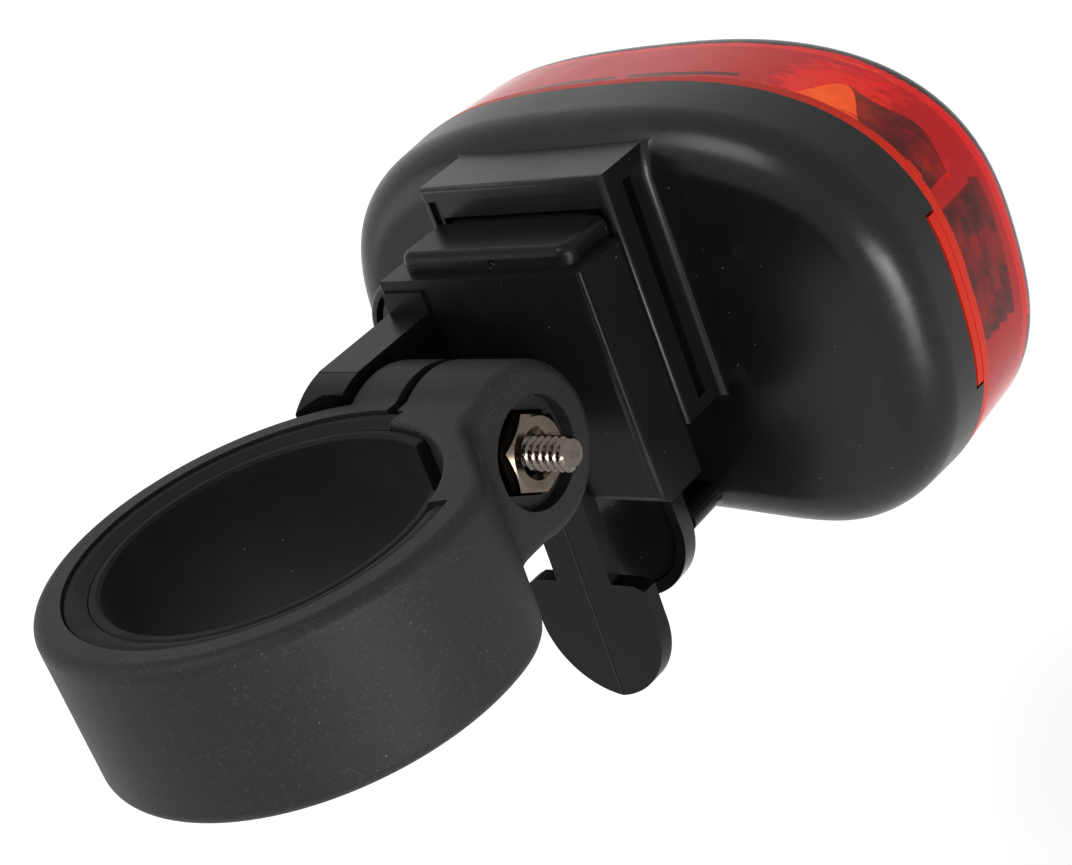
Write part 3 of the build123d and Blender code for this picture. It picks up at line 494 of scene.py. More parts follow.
@dataclass(frozen=True)
class ClearPlastic:
    """Clear red plastic with a frosted band at its flange, amber patches of painted glare,
    hairlines and specks.
    """

    name: str
    colour: Colour
    band_colour: Colour
    amber: Colour
    band_edge: float
    patches: tuple[GlarePatch, ...]
    gloss: float = 0.03
    index: float = 1.22
    ragged_size: float = 3.0 * MM
    ragged_stretch: Point = (1.0, 2.5, 1.0)
    raggedness: float = 1.8
    glare_rim: Span = (0.66, 0.86)
    wave_size: float = 12.0 * MM
    wave_depth: float = 0.12 * MM
    hairline_size: float = 0.6 * MM
    hairline_stretch: Point = (0.15, 1.0, 2.4)
    hairline_range: Span = (0.66, 0.74)
    hairline_depth: float = 0.0015 * MM
    hairline_dulling: float = 0.05
    speck_spacing: float = 4.0 * MM
    speck_share: float = 0.03
    speck_colour: Colour = (0.9, 0.5, 0.45)
    speck_cover: float = 0.5
    speck_dulling: float = 0.3
    band_cloud: float = 2.0 * MM
    band_gloss: float = 0.3
    band_dulling: float = 0.2
    band_dark: float = 0.75
    band_grain: float = 0.3 * MM
    band_grain_depth: float = 0.008 * MM
    band_specular: float = 0.1
    edge_noise: float = 4.0 * MM
    edge_depth: float = 0.4 * MM
    edge_half: float = 0.12 * MM

    def painted_glare_mask(self, shader: Shader) -> Signal:
        """Ragged spots of painted glare round the given points.

        Args:
            shader: The lens's shader.

        Returns:
            1 inside a spot, 0 elsewhere.
        """
        ragged = shader.noise(self.ragged_size, 6.0, self.ragged_stretch) - 0.5
        total: Any = 0.0
        for patch in self.patches:
            ends = {0: shader.place(), 1: patch.centre}
            away = shader.vector_maths("DISTANCE", ends).out("Value")
            spot = (away / patch.reach + ragged * self.raggedness).ramp(*self.glare_rim, 1.0, 0.0)
            total = spot.larger(total)
        return total

    def clear(self, shader: Shader) -> Signal:
        """The clear wall.

        Args:
            shader: The lens's shader.

        Returns:
            The clear surface.
        """
        hairline = shader.noise(self.hairline_size, 5.0, self.hairline_stretch)
        hairline = hairline.ramp(*self.hairline_range)
        speck = shader.specks(self.speck_spacing, self.speck_share)
        # Painted glare: amber spots in the lens colour stand in for light glaring through the wall.
        glare_tint = shader.mix(self.painted_glare_mask(shader), self.colour, self.amber)
        normal = shader.bump(shader.noise(self.wave_size), self.wave_depth)
        worn = self.gloss + hairline * self.hairline_dulling + speck * self.speck_dulling
        return shader.principled(
            {
                "Base Color": shader.mix(speck * self.speck_cover, glare_tint, self.speck_colour),
                "Roughness": worn,
                "IOR": self.index,
                "Transmission Weight": 1.0,
                "Normal": shader.bump(hairline, self.hairline_depth, normal),
            }
        )

    def frosted(self, shader: Shader) -> Signal:
        """The frosted band that covers the flange.

        Args:
            shader: The lens's shader.

        Returns:
            The frosted surface.
        """
        cloud = shader.noise(self.band_cloud, 4.0)
        dark = scaled(self.band_colour, self.band_dark)
        grain = shader.noise(self.band_grain, 3.0)
        return shader.principled(
            {
                "Base Color": shader.mix(cloud, dark, self.band_colour),
                "Roughness": self.band_gloss + cloud * self.band_dulling,
                "Specular IOR Level": self.band_specular,
                "Normal": shader.bump(grain, self.band_grain_depth),
            }
        )

    def material(self) -> bpy.types.Material:
        """Builds the material.

        Returns:
            The finished material.
        """
        material, shader = new_shader(self.name)
        depth = shader.axis("Y") + shader.noise(self.edge_noise, 3.0) * self.edge_depth
        band = depth.ramp(self.band_edge - self.edge_half, self.band_edge + self.edge_half)
        values = {0: band, 1: self.clear(shader), 2: self.frosted(shader)}
        shader.close(shader.node("ShaderNodeMixShader", None, values).out())
        return material


@dataclass(frozen=True)
class PlainPart:
    """Small inner part: two mottled colours, a fine grain and its own gloss."""

    name: str
    colour: Colour
    second: Colour
    gloss: float = 0.4
    metal: float = 0.0
    mottle: float = 2.0 * MM
    mottle_range: Span = (0.35, 0.65)
    gloss_spread: float = 0.2
    grain_share: float = 0.1
    grain_depth: float = 0.005 * MM

    def material(self) -> bpy.types.Material:
        """Builds the material.

        Returns:
            The finished material.
        """
        material, shader = new_shader(self.name)
        cloud = shader.noise(self.mottle, 4.0)
        grain = shader.noise(self.mottle * self.grain_share)
        surface = shader.principled(
            {
                "Base Color": shader.mix(cloud.ramp(*self.mottle_range), self.colour, self.second),
                "Roughness": self.gloss + (cloud - 0.5) * self.gloss_spread,
                "Metallic": self.metal,
                "Normal": shader.bump(grain, self.grain_depth),
            }
        )
        shader.close(surface)
        return material


def dress(node: str, material: bpy.types.Material) -> None:
    """Gives a node of the model its finish.

    Args:
        node: The node's name.
        material: The finish.
    """
    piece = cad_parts[node]
    piece.data.materials.clear()
    piece.data.materials.append(material)
    for polygon in piece.data.polygons:
        polygon.material_index = 0
    LOG.info("dressed %s in %s", node, material.name)


def object_from(
    name: str, mesh: bmesh.types.BMesh, material: bpy.types.Material
) -> bpy.types.Object:
    """Turns a built mesh into a scene object.

    Args:
        name: The piece's name.
        mesh: The built mesh, freed here.
        material: Its finish.

    Returns:
        The new object.
    """
    data = bpy.data.meshes.new(name)
    bmesh.ops.recalc_face_normals(mesh, faces=mesh.faces)
    mesh.to_mesh(data)
    mesh.free()
    data.materials.append(material)
    piece = bpy.data.objects.new(name, data)
    bpy.context.scene.collection.objects.link(piece)
    data.shade_smooth()
    return piece


def shade_by_angle(piece: bpy.types.Object, degrees: float) -> None:
    """Keeps a smooth piece crisp at edges sharper than this angle."""
    piece.data.set_sharp_from_angle(angle=math.radians(degrees))


def bridge(mesh: bmesh.types.BMesh, rings: list[Corners]) -> None:
    """Adds the faces between closed rings of vertices, from one ring to the next.

    Args:
        mesh: The mesh that the vertices are in.
        rings: The rings, each with the same number of vertices.
    """
    for low, high in zip(rings, rings[1:]):
        for index in range(len(low)):
            after = (index + 1) % len(low)
            mesh.faces.new((low[index], low[after], high[after], high[index]))


def bake_modifiers(piece: bpy.types.Object) -> None:
    """Puts what a piece's modifiers make in place of its mesh.

    Args:
        piece: The piece.
    """
    bpy.context.view_layer.update()
    evaluated = piece.evaluated_get(bpy.context.evaluated_depsgraph_get())
    piece.data = bpy.data.meshes.new_from_object(evaluated)
    piece.modifiers.clear()


def subtract(piece: bpy.types.Object, cutter: bpy.types.Object, crossing: bool = False) -> None:
    """Cuts one object out of another and deletes it.

    Args:
        piece: The piece that is cut.
        cutter: The object that is cut out.
        crossing: Whether the cutter's own parts cross each other.
    """
    modifier = piece.modifiers.new("cut", "BOOLEAN")
    modifier.operation = "DIFFERENCE"
    modifier.solver = "EXACT"
    modifier.use_self = crossing
    modifier.object = cutter
    bake_modifiers(piece)
    bpy.data.objects.remove(cutter)


@dataclass(frozen=True)
class Pit:
    """Egg-shaped moulding pit: its middle and half sizes in millimetres."""

    place: Point
    reach: Point
    fineness: int = 3

    def carve(self, piece: bpy.types.Object) -> None:
        """Cuts the pit into a piece.

        Args:
            piece: The piece.
        """
        shape = bmesh.new()
        bmesh.ops.create_icosphere(shape, subdivisions=self.fineness, radius=1.0)
        for vertex in shape.verts:
            parts = zip(self.place, self.reach, vertex.co)
            vertex.co = Vector([(spot + half * part) * MM for spot, half, part in parts])
        subtract(piece, object_from("pit_cutter", shape, piece.data.materials[0]))


@dataclass(frozen=True)
class SoftEdges:
    """Copy of a node whose sharp edges are rounded off a little, with angles in degrees."""

    width: float
    pits: tuple[Pit, ...] = ()
    same_place: float = 1e-6
    flat: float = 0.4
    sharp: float = 35.0
    crisp: float = 50.0
    segments: int = 2
    roundness: float = 0.5

    def build(self, node: str, body: str, slot: str, finish: bpy.types.Material) -> None:
        """Makes the copy.

        Args:
            node: The node's name.
            body: The body that it moves with.
            slot: Not used.
            finish: The copy's finish.
        """
        mesh = bmesh.new()
        mesh.from_mesh(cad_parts[node].data)
        bmesh.ops.remove_doubles(mesh, verts=mesh.verts[:], dist=self.same_place)
        bmesh.ops.dissolve_limit(
            mesh, angle_limit=math.radians(self.flat), verts=mesh.verts[:], edges=mesh.edges[:]
        )
        bmesh.ops.bevel(
            mesh,
            geom=[edge for edge in mesh.edges if self.is_sharp(edge)],
            offset=self.width,
            offset_type="OFFSET",
            segments=self.segments,
            profile=self.roundness,
            affect="EDGES",
            clamp_overlap=True,
        )
        piece = object_from(f"{node}_soft", mesh, finish)
        for pit in self.pits:
            pit.carve(piece)
        shade_by_angle(piece, self.crisp)
        modifier = piece.modifiers.new("flat_faces", "WEIGHTED_NORMAL")
        modifier.keep_sharp = True
        bake_modifiers(piece)
        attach(piece, body)
        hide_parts(node)
        LOG.info("softened %s: %d faces", node, len(piece.data.polygons))

    def is_sharp(self, edge: bmesh.types.BMEdge) -> bool:
        """Whether an edge is to be rounded.

        Args:
            edge: The edge.

        Returns:
            True for a fold between two faces that is sharp and long enough.
        """
        if len(edge.link_faces) != 2:
            return False
        return edge.calc_face_angle() > math.radians(self.sharp) and edge.calc_length() > self.width


@dataclass
class HexNut:
    """Hexagon nut with a chamfered face, flush with its pocket's rim, and a countersunk hole."""

    face: float = -10.75 * MM
    back: float = -6.4 * MM
    across_flats: float = 7.4 * MM
    face_r: float = 3.55 * MM
    mouth_r: float = 2.6 * MM
    hole_r: float = 1.78 * MM
    chamfer: float = math.tan(math.radians(30.0))
    around: int = 120
    crisp: float = 25.0
    finish: PlatedSteel = PlatedSteel(
        "nut_steel",
        colour=(0.125, 0.1, 0.077),
        tarnish=(0.035, 0.026, 0.018),
        gloss=0.12,
        streak=(3.0, 0.4, 0.4),
    )

    def side_r(self, angle: float) -> float:
        """Distance from the axis to the hexagon's side, at this angle from +Y in radians."""
        sector = math.pi / 3
        return self.across_flats / 2 / math.cos((angle + sector / 2) % sector - sector / 2)

    def profile(self, angle: float) -> tuple[Span, ...]:
        """Outline of the nut's section at this angle.

        Args:
            angle: Angle from +Y in radians.

        Returns:
            The corners, each with its X and its distance from the axis.
        """
        side = self.side_r(angle)
        return (
            (self.back, self.hole_r),
            (self.face + (self.mouth_r - self.hole_r), self.hole_r),
            (self.face, self.mouth_r),
            (self.face, self.face_r),
            (self.face + (side - self.face_r) * self.chamfer, side),
            (self.back, side),
        )

    def build(self) -> None:
        """Makes the nut in place of its node."""
        mesh = bmesh.new()
        columns = []
        for index in range(self.around):
            angle = 2 * math.pi * index / self.around
            along, up = math.cos(angle), math.sin(angle)
            corners = [(x, -SCREW_REACH + r * along, r * up) for x, r in self.profile(angle)]
            columns.append([mesh.verts.new(corner) for corner in corners])
        bridge(mesh, [*columns, columns[0]])
        piece = object_from("clamp_nut_hex", mesh, self.finish.material())
        shade_by_angle(piece, self.crisp)
        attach(piece, "clamp")
        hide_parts("clamp_nut")
        LOG.info("built the nut")


@dataclass
class PostClamp:
    """Split ring, its two rubber liners and the nut."""

    edges: SoftEdges = SoftEdges(
        width=0.16 * MM,
        pits=(
            Pit((-11.2, -17.2, 4.45), (0.3, 0.3, 0.85)),
            Pit((-13.3, -15.1, -2.6), (0.35, 0.35, 0.95)),
        ),
    )
    ring: MouldedPlastic = MouldedPlastic(
        "ring_plastic",
        colour=(0.015, 0.0152, 0.0163),
        gloss=0.5,
        gloss_spread=0.16,
        grain=Grain.SPARKED,
        specular=0.12,
    )
    rubber: MouldedRubber = MouldedRubber(
        "liner_rubber", colour=(0.01, 0.01, 0.0101), dullness=0.66, specular=0.07
    )

    def build(self) -> None:
        """Dresses the clamp's nodes."""
        self.edges.build("clamp_ring", "clamp", "ring_plastic", self.ring.material())
        rubber = self.rubber.material()
        dress("outer_liner", rubber)
        dress("inner_liner", rubber)
        HexNut().build()


@dataclass
class ScrewThread:
    """Pan-head machine screw with a real helical thread and a cross recess."""

    tip: float = -14.9 * MM
    thread_end: float = 9.0 * MM
    head_seat: float = 14.3 * MM
    crest: float = 1.74 * MM
    root: float = 1.26 * MM
    pitch: float = 0.86 * MM
    root_share: float = 0.12
    flank_share: float = 0.74
    tip_bevel: float = 0.3 * MM
    around: int = 48
    per_turn: int = 14
    shank_crisp: float = 28.0
    # The head's outline: how far out from its seat, and the radius there, in millimetres.
    outline: tuple[Span, ...] = (
        (0.0, 3.45),
        (0.25, 3.6),
        (1.0, 3.6),
        (1.6, 3.35),
        (2.05, 2.7),
        (2.3, 1.6),
    )
    crown: float = 2.4
    head_around: int = 64
    head_crisp: float = 35.0
    # The recess cutter's top and floor: how far out from the seat, each arm's reach and half its
    # width, in millimetres.
    recess: tuple[Point, ...] = ((3.2, 2.3, 0.5), (0.9, 0.9, 0.22))
    recess_overlap: float = 0.3
    steel: PlatedSteel = PlatedSteel(
        "screw_steel", colour=(0.135, 0.117, 0.1), tarnish=(0.045, 0.036, 0.03), gloss=0.08
    )

    def thread_radius(self, x: float, turn: float) -> float:
        """Radius of the thread's skin.

        Args:
            x: Distance along the screw.
            turn: Angle round it, in turns.

        Returns:
            The radius in metres.
        """
        phase = (x / self.pitch + turn) % 1.0
        flank = 2 * abs(phase - 0.5)
        rise = min(1.0, max(0.0, (flank - self.root_share) / self.flank_share))
        radius = self.root + (self.crest - self.root) * rise
        ease = min(1.0, max(0.0, (self.thread_end - x) / self.pitch))
        radius = radius * ease + self.crest * (1 - ease)
        limit = self.crest - max(0.0, self.tip + self.tip_bevel - x)
        return min(radius, limit)

    def ring(self, mesh: bmesh.types.BMesh, x: float, radii: list[float]) -> Corners:
        """Adds a ring of vertices round the screw's axis.

        Args:
            mesh: The mesh that they go into.
            x: The ring's place along the screw.
            radii: Each vertex's distance from the axis.

        Returns:
            The vertices.
        """
        made = []
        for index, radius in enumerate(radii):
            angle = 2 * math.pi * (index / len(radii))
            y = -SCREW_REACH + radius * math.cos(angle)
            made.append(mesh.verts.new((x, y, radius * math.sin(angle))))
        return made

    def shank(self, material: bpy.types.Material) -> bpy.types.Object:
        """Builds the threaded shank.

        Args:
            material: Its finish.

        Returns:
            The shank.
        """
        mesh = bmesh.new()
        step = self.pitch / self.per_turn
        rows = int((self.thread_end - self.tip) / step) + 1
        rings = []
        for x in [self.tip + row * step for row in range(rows)] + [self.head_seat]:
            turns = [index / self.around for index in range(self.around)]
            rings.append(self.ring(mesh, x, [self.thread_radius(x, turn) for turn in turns]))
        bridge(mesh, rings)
        mesh.faces.new(rings[0])
        mesh.faces.new(list(reversed(rings[-1])))
        piece = object_from("clamp_screw_shank", mesh, material)
        shade_by_angle(piece, self.shank_crisp)
        return piece

    def head(self, material: bpy.types.Material) -> bpy.types.Object:
        """Builds the pan head with its cross recess.

        Args:
            material: Its finish.

        Returns:
            The head.
        """
        mesh = bmesh.new()
        rings = [
            self.ring(mesh, self.head_seat + out * MM, [radius * MM] * self.head_around)
            for out, radius in self.outline
        ]
        top = mesh.verts.new((self.head_seat + self.crown * MM, -SCREW_REACH, 0))
        bridge(mesh, rings)
        last = rings[-1]
        for index, vertex in enumerate(last):
            mesh.faces.new((vertex, last[(index + 1) % len(last)], top))
        mesh.faces.new(rings[0])
        piece = object_from("clamp_screw_head", mesh, material)
        subtract(piece, self.recess_cutter(material), crossing=True)
        shade_by_angle(piece, self.head_crisp)
        return piece

    def recess_cutter(self, material: bpy.types.Material) -> bpy.types.Object:
        """Makes the tapered cross that is cut out of the head.

        Args:
            material: The cutter's finish, which the recess takes.

        Returns:
            The cross.
        """
        mesh = bmesh.new()
        inner = -self.recess_overlap
        for quarter in range(4):
            angle = math.pi / 2 * quarter
            levels = []
            for out, reach, half in self.recess:
                level = []
                for along, across in ((inner, -half), (reach, -half), (reach, half), (inner, half)):
                    y = along * math.cos(angle) - across * math.sin(angle)
                    z = along * math.sin(angle) + across * math.cos(angle)
                    corner = (self.head_seat + out * MM, -SCREW_REACH + y * MM, z * MM)
                    level.append(mesh.verts.new(corner))
                levels.append(level)
            mesh.faces.new(levels[0])
            mesh.faces.new(list(reversed(levels[1])))
            bridge(mesh, levels)
        return object_from("recess_cutter", mesh, material)

    def build(self) -> None:
        """Makes the screw and dresses its washer."""
        steel = self.steel.material()
        shank = self.shank(steel)
        head = self.head(steel)
        for piece in (shank, head):
            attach(piece, "screw")
        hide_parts("clamp_screw")
        dress("screw_washer", steel)
        LOG.info("built the clamp screw")


@dataclass
class Bracket:
    """Shoe, arm and rail, with the squeeze tongue and the latch plate."""

    seam_half: float = 0.22 * MM
    seam_depth: float = 0.08 * MM
    edge: float = 0.14 * MM
    shoe_pit: Pit = Pit((-1.37, -37.4, 13.73), (0.5, 0.5, 0.5))
    black: Colour = (0.005, 0.0048, 0.0045)
    tongue_black: Colour = (0.0055, 0.0055, 0.0055)

    def tongue_relief(self, shader: Shader) -> tuple[Signal, float]:
        """Height and depth of the mould seam down the middle of the tongue."""
        return abs(shader.axis("X")).ramp(0.0, self.seam_half, 1.0, 0.0), self.seam_depth

    def build(self) -> None:
        """Makes the bracket's pieces with soft edges."""
        shoe = MouldedPlastic(
            "bracket_plastic",
            colour=self.black,
            gloss=0.32,
            gloss_spread=0.14,
            grain=Grain.SATIN,
            specular=0.1,
        )
        tongue = MouldedPlastic(
            "tongue_plastic",
            colour=self.tongue_black,
            gloss=0.36,
            gloss_spread=0.1,
            grain=Grain.SATIN,
            specular=0.09,
            relief=self.tongue_relief,
        )
        plate = MouldedPlastic(
            "latch_plastic",
            colour=self.black,
            gloss=0.2,
            gloss_spread=0.08,
            grain=Grain.POLISHED,
            specular=0.22,
        )
        plain = SoftEdges(self.edge)
        pitted = SoftEdges(self.edge, (self.shoe_pit,))
        pitted.build("bracket_shoe", "bracket", "bracket_plastic", shoe.material())
        plain.build("release_tongue", "tongue", "latch_plastic", tongue.material())
        plain.build("latch_plate", "latch", "latch_plastic", plate.material())


@dataclass
class LampBody:
    """Black back shell with its receiver, the push button and the lens seal."""

    edges: SoftEdges = SoftEdges(width=0.12 * MM)
    shell: MouldedPlastic = MouldedPlastic(
        "shell_plastic",
        colour=(0.0034, 0.0034, 0.0035),
        gloss=0.29,
        gloss_spread=0.09,
        grain=Grain.SATIN,
        specular=0.23,
    )

    def build(self) -> None:
        """Dresses the shell, button and seal."""
        self.edges.build("back_shell", "head", "shell_plastic", self.shell.material())
        dress("push_button", MouldedRubber("button_rubber").material())
        dress("lens_seal", MouldedRubber("seal_rubber").material())


@dataclass(frozen=True)
class Curtain:
    """Strip that follows the lens wall, with angles in degrees from the lamp's side upwards."""

    start: float
    end: float
    back: float = -63.4 * MM
    front: float = -71.5 * MM
    inset: float = 1.2 * MM
    thick: float = 0.8 * MM
    lean: float = 0.0
    ribs: int = 0
    rib_depth: float = 0.45 * MM
    wave: float = 0.0
    waves: float = 3.0
    steps: int = 96


class InnerLook(Enum):
    """Finish of a form behind the lens wall."""

    REFLEX = PlainPart(
        "reflex_red", (0.4, 0.003, 0.003), (0.03, 0.0008, 0.0008), gloss=0.08, mottle=2.2 * MM
    )
    # Painted shade: dark finish of the shade strip, a sheet that stands in for shade inside the
    # lamp; the thin sill line takes it too.
    SHADE = PlainPart(
        "shade_brown", (0.09, 0.006, 0.005), (0.3, 0.03, 0.02), gloss=0.2, mottle=3.0 * MM
    )
    # Pale finish of the fin and of the chip and glint strips; behind the amber patches the chip and
    # glint brighten them as painted glare.
    PALE = PlainPart(
        "fin_pale",
        (0.95, 0.93, 0.9),
        (0.8, 0.72, 0.62),
        gloss=0.15,
        mottle=3.0 * MM,
        grain_depth=0.08 * MM,
    )


LENS_FORMS: dict[str, tuple[InnerLook, Curtain]] = {
    "reflex": (
        InnerLook.REFLEX,
        Curtain(-13, 11.5, front=-74.2 * MM, ribs=6, inset=0.9 * MM, thick=1.4 * MM),
    ),
    # Painted shade: a dark sheet behind the wall where the lamp's inside lies in shade.
    "shade": (
        InnerLook.SHADE,
        Curtain(15.5, 38, front=-70.8 * MM, wave=1.2 * MM, waves=1.3, inset=2.0 * MM),
    ),
    "fin": (
        InnerLook.PALE,
        Curtain(38.5, 54, front=-69.0 * MM, wave=1.0 * MM, inset=0.9 * MM, lean=3.0 * MM),
    ),
    "sill": (
        InnerLook.SHADE,
        Curtain(57, 88, back=-66.7 * MM, front=-67.0 * MM, inset=0.8 * MM, thick=0.4 * MM),
    ),
    # Painted glare: a pale strip behind the small amber patch.
    "chip": (
        InnerLook.PALE,
        Curtain(18.5, 22, back=-64.0 * MM, front=-65.4 * MM, inset=0.6 * MM, thick=0.5 * MM),
    ),
    # Painted glare: a pale strip behind the large amber patch.
    "glint": (
        InnerLook.PALE,
        Curtain(
            30,
            46,
            back=-63.6 * MM,
            front=-64.1 * MM,
            wave=5.2 * MM,
            waves=1.0,
            inset=0.6 * MM,
            thick=0.2 * MM,
        ),
    ),
}


@dataclass
class LampFront:
    """Clear red lens with the forms that show through its wall, a dark sheet of painted shade and
    pale strips under painted glare among them.
    """

    centre_z: float = -4.2 * MM
    missed_r: float = 30.0 * MM
    crisp: float = 25.0
    finish: ClearPlastic = ClearPlastic(
        "lens_plastic",
        colour=(0.6, 0.005, 0.004),
        band_colour=(0.52, 0.02, 0.006),
        amber=(1.0, 0.31, 0.006),
        band_edge=-62.3 * MM,
        # Painted glare: where the amber patches lie on the lens.
        patches=(
            GlarePatch((-0.0266, -0.0655, 0.0168), 7.8 * MM),
            GlarePatch((-0.0349, -0.0650, 0.0087), 3.0 * MM),
        ),
    )
    forms: dict[str, tuple[InnerLook, Curtain]] = field(default_factory=LENS_FORMS.copy)
    lens: Optional[BVHTree] = None

    def wall_r(self, y: float, degrees: float) -> float:
        """Distance from the lamp's middle line to the inside of the lens wall.

        Args:
            y: Depth at which it is measured.
            degrees: Angle from -X towards +Z.

        Returns:
            The distance in metres.
        """
        angle = math.radians(degrees)
        way = Vector((-math.cos(angle), 0.0, math.sin(angle)))
        assert self.lens is not None
        hit = self.lens.ray_cast(Vector((0.0, y, self.centre_z)), way)
        return hit[3] if hit[0] is not None else self.missed_r

    def section(self, form: Curtain, degrees: float, share: float) -> list[Span]:
        """Outline of a strip across the wall at one angle.

        Args:
            form: The strip's sizes.
            degrees: Angle from -X towards +Z.
            share: How far along the strip this is, from 0 to 1.

        Returns:
            The corners, each with its depth and its distance from the middle line.
        """
        front = form.front - form.wave * math.sin(share * math.pi * form.waves) ** 2
        rows = max(1, 2 * form.ribs)
        outer, inner = [], []
        for row in range(rows + 1):
            y = form.back + (front - form.back) * row / rows
            rib = form.rib_depth * (row % 2)
            radius = self.wall_r(y, degrees) - form.inset - rib - form.lean * row / rows
            outer.append((y, radius))
            inner.append((y, radius - (form.thick - rib)))
        return outer + list(reversed(inner))

    def curtain(
        self, name: str, finish: bpy.types.Material, form: Curtain, turn: float
    ) -> bpy.types.Object:
        """Makes a curved strip that follows the lens wall from inside.

        Args:
            name: The strip's name.
            finish: Its finish.
            form: Its sizes.
            turn: 1 for the side at -X, -1 for its mirror image at +X.

        Returns:
            The strip.
        """
        mesh = bmesh.new()
        middle = 90.0 - 90.0 * turn
        start, end = middle + form.start * turn, middle + form.end * turn
        columns = []
        for step in range(form.steps + 1):
            share = step / form.steps
            degrees = start + (end - start) * share
            along, up = -math.cos(math.radians(degrees)), math.sin(math.radians(degrees))
            corners = self.section(form, degrees, share)
            columns.append(
                [mesh.verts.new((r * along, y, self.centre_z + r * up)) for y, r in corners]
            )
        bridge(mesh, columns)
        mesh.faces.new(columns[0])
        mesh.faces.new(list(reversed(columns[-1])))
        piece = object_from(name, mesh, finish)
        shade_by_angle(piece, self.crisp)
        return piece

    def build(self) -> None:
        """Dresses the lens and makes the forms behind its wall."""
        dress("lens", self.finish.material())
        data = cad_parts["lens"].data
        corners = [vertex.co for vertex in data.vertices]
        self.lens = BVHTree.FromPolygons(corners, [tuple(face.vertices) for face in data.polygons])
        finishes = {look: look.value.material() for look in InnerLook}
        for side, turn in (("near", 1.0), ("far", -1.0)):
            for name, (look, form) in self.forms.items():
                piece = self.curtain(f"{name}_{side}", finishes[look], form, turn)
                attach(piece, "lens_cover")
                LOG.info("built %s", piece.name)


INNER_FINISHES: dict[str, PlainPart] = {
    "reflector": PlainPart(
        "reflector_chrome", (0.86, 0.86, 0.85), (0.78, 0.78, 0.77), gloss=0.12, metal=1.0
    ),
    "circuit_board": PlainPart("board_laminate", (0.02, 0.16, 0.06), (0.03, 0.2, 0.08), gloss=0.35),
    "leds": PlainPart("led_resin", (0.85, 0.2, 0.12), (0.9, 0.3, 0.2), gloss=0.15),
    "tact_switch": PlainPart("switch_body", (0.03, 0.03, 0.03), (0.05, 0.05, 0.05)),
    "control_chip": PlainPart("chip_resin", (0.02, 0.02, 0.02), (0.035, 0.035, 0.035), gloss=0.5),
    "board_screws": PlainPart(
        "inner_steel", (0.6, 0.6, 0.58), (0.5, 0.5, 0.48), gloss=0.28, metal=1.0
    ),
    "contact_springs": PlainPart(
        "spring_steel", (0.62, 0.62, 0.6), (0.5, 0.5, 0.48), gloss=0.25, metal=1.0
    ),
    "contact_plates": PlainPart(
        "contact_nickel", (0.68, 0.66, 0.6), (0.55, 0.53, 0.48), gloss=0.3, metal=1.0
    ),
    "battery_tray": PlainPart("tray_plastic", (0.03, 0.03, 0.03), (0.04, 0.04, 0.04)),
    "battery_upper": PlainPart("cell_wrap", (0.05, 0.07, 0.12), (0.06, 0.09, 0.15), gloss=0.3),
    "battery_lower": PlainPart(
        "cell_wrap_lower", (0.05, 0.07, 0.12), (0.06, 0.09, 0.15), gloss=0.3
    ),
}


@dataclass
class LampInside:
    """Board, diodes, reflector, cells and contacts."""

    finishes: dict[str, PlainPart] = field(default_factory=INNER_FINISHES.copy)

    def build(self) -> None:
        """Dresses every inner node."""
        for node, finish in self.finishes.items():
            dress(node, finish.material())


@dataclass(frozen=True)
class Lamp:
    """Soft rectangular lamp: place, aim and size in metres, power in watts."""

    name: str
    place: Point
    aim: Point
    size: Span
    watts: float

    def build(self) -> None:
        """Adds the lamp to the scene."""
        data = bpy.data.lights.new(self.name, "AREA")
        data.shape = "RECTANGLE"
        data.size, data.size_y = self.size
        data.energy = self.watts
        lamp = bpy.data.objects.new(self.name, data)
        lamp.location = self.place
        lamp.rotation_mode = "QUATERNION"
        lamp.rotation_quaternion = (Vector(self.aim) - Vector(self.place)).to_track_quat("-Z", "Y")
        bpy.context.scene.collection.objects.link(lamp)


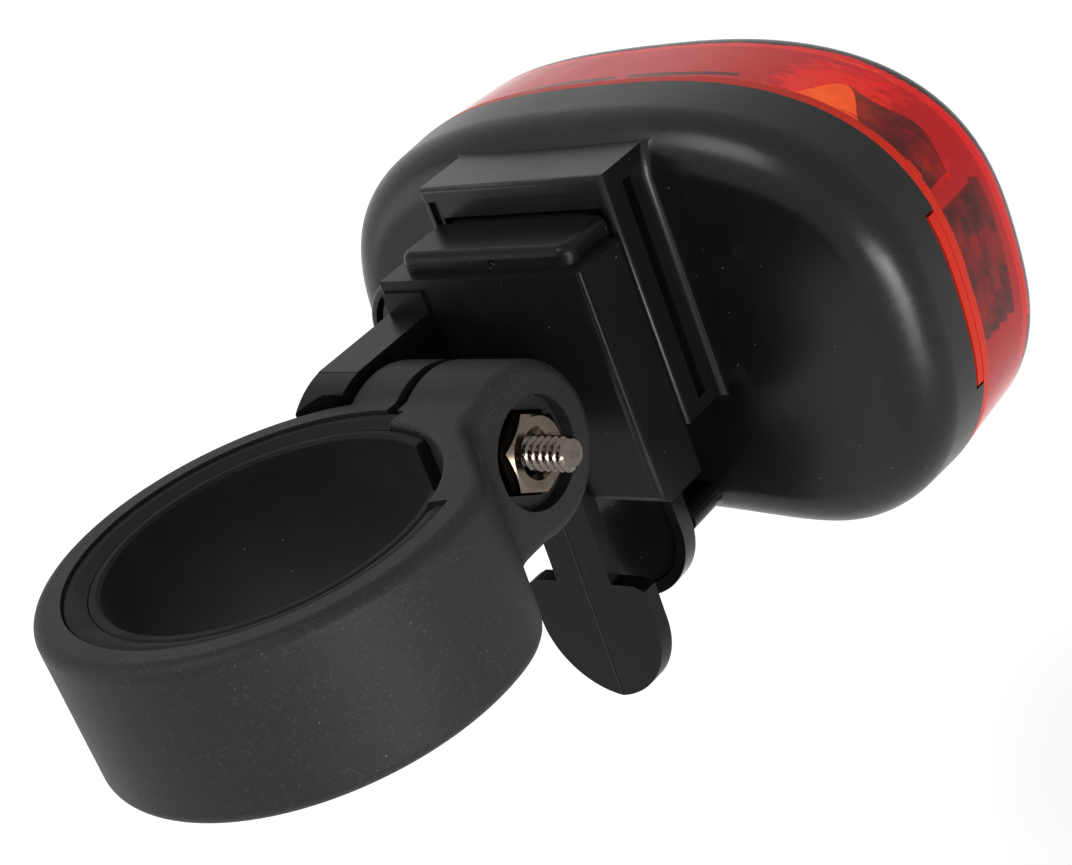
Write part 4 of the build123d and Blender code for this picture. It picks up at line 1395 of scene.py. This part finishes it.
@dataclass
class Studio:
    """Pale floor, white surroundings, soft lamps and the photograph's camera."""

    floor_height: float = -0.11
    floor_half: float = 6.0
    paper: tuple[Colour, Colour] = ((0.8, 0.8, 0.8), (0.82, 0.82, 0.82))
    paper_cloud: float = 0.4
    glow_near: float = 0.48
    glow_far: float = 0.72
    glow_reach: Span = (0.14, 0.6)
    fill: float = 0.38
    camera_place: Point = (-0.152068, 0.112993, 0.090090)
    camera_turn: tuple[float, float, float, float] = (-0.175994, -0.300374, 0.454062, 0.820140)
    camera_lens: float = 77.2675
    camera_sensor: float = 36.0
    camera_clip: Span = (0.01, 50.0)
    lamps: tuple[Lamp, ...] = (
        Lamp("high_left", (0.14, 0.40, 0.66), (0, -0.03, 0), (0.34, 0.32), 2.9),
        Lamp("low_front", (-0.62, 0.45, -0.02), (-0.03, -0.05, 0), (0.34, 0.16), 2.1),
        Lamp("near_low", (-0.26, 0.072, -0.054), (-0.035, -0.053, 0), (0.1, 0.1), 0.46),
        Lamp("left_side", (0.62, 0.42, 0.12), (0, -0.02, 0), (0.4, 0.5), 1.0),
    )

    def build_floor(self) -> None:
        """Makes the floor, white to the camera but for the object's shadow.

        The glow that makes it white is weaker near the object, so that the shadow shows.
        """
        mesh = bmesh.new()
        half, height = self.floor_half, self.floor_height
        corners = [(-half, -half), (half, -half), (half, half), (-half, half)]
        mesh.faces.new([mesh.verts.new((x, y, height)) for x, y in corners])
        material, shader = new_shader("floor_paper")
        colour = shader.mix(shader.noise(self.paper_cloud), *self.paper)
        paper = shader.node("ShaderNodeBsdfDiffuse", None, {"Color": colour})
        away = shader.vector_maths("LENGTH", {0: shader.place()}).out("Value")
        near, far = (self.glow_near,) * 3, (self.glow_far,) * 3
        lit = shader.mix(away.ramp(*self.glow_reach), near, far)
        glow = shader.node("ShaderNodeEmission", None, {"Color": lit, "Strength": 1.0})
        both = shader.node("ShaderNodeAddShader", None, {0: paper.out(), 1: glow.out()})
        values = {0: shader.seen(), 1: paper.out(), 2: both.out()}
        shader.close(shader.node("ShaderNodeMixShader", None, values).out())
        object_from("floor", mesh, material)
        LOG.info("laid the floor")

    def build_world(self) -> None:
        """Makes the surroundings: white to be seen, softer as light."""
        world = bpy.data.worlds.new("surroundings")
        bpy.context.scene.world = world
        world.use_nodes = True
        shader = Shader(world.node_tree)
        strength = shader.seen() * (1.0 - self.fill) + self.fill
        values = {"Color": (1, 1, 1, 1), "Strength": strength}
        background = shader.node("ShaderNodeBackground", None, values)
        shader.close(background.out(), "ShaderNodeOutputWorld")

    def build_camera(self) -> None:
        """Puts the camera where the photograph was taken from."""
        data = bpy.data.cameras.new("photo_camera")
        data.sensor_width = self.camera_sensor
        data.lens = self.camera_lens
        data.clip_start, data.clip_end = self.camera_clip
        camera = bpy.data.objects.new("photo_camera", data)
        camera.location = self.camera_place
        camera.rotation_mode = "QUATERNION"
        camera.rotation_quaternion = Quaternion(self.camera_turn)
        bpy.context.scene.collection.objects.link(camera)
        bpy.context.scene.camera = camera

    def build(self) -> None:
        """Builds the whole studio."""
        bpy.context.scene.view_settings.view_transform = "Standard"
        self.build_camera()
        self.build_world()
        self.build_floor()
        for lamp in self.lamps:
            lamp.build()


class Assembly(Protocol):
    """Sub-assembly or studio, as main uses it."""

    def build(self) -> None:
        """Makes its pieces."""


def main() -> None:
    """Builds the scene in order."""
    logging.basicConfig(level=logging.INFO, format="%(name)s: %(message)s")
    assemblies: tuple[Assembly, ...] = (
        Studio(),
        PostClamp(),
        ScrewThread(),
        Bracket(),
        LampBody(),
        LampFront(),
        LampInside(),
    )
    for assembly in assemblies:
        assembly.build()
        LOG.info("%s done", type(assembly).__name__)


if __name__ == "__main__":
    main()
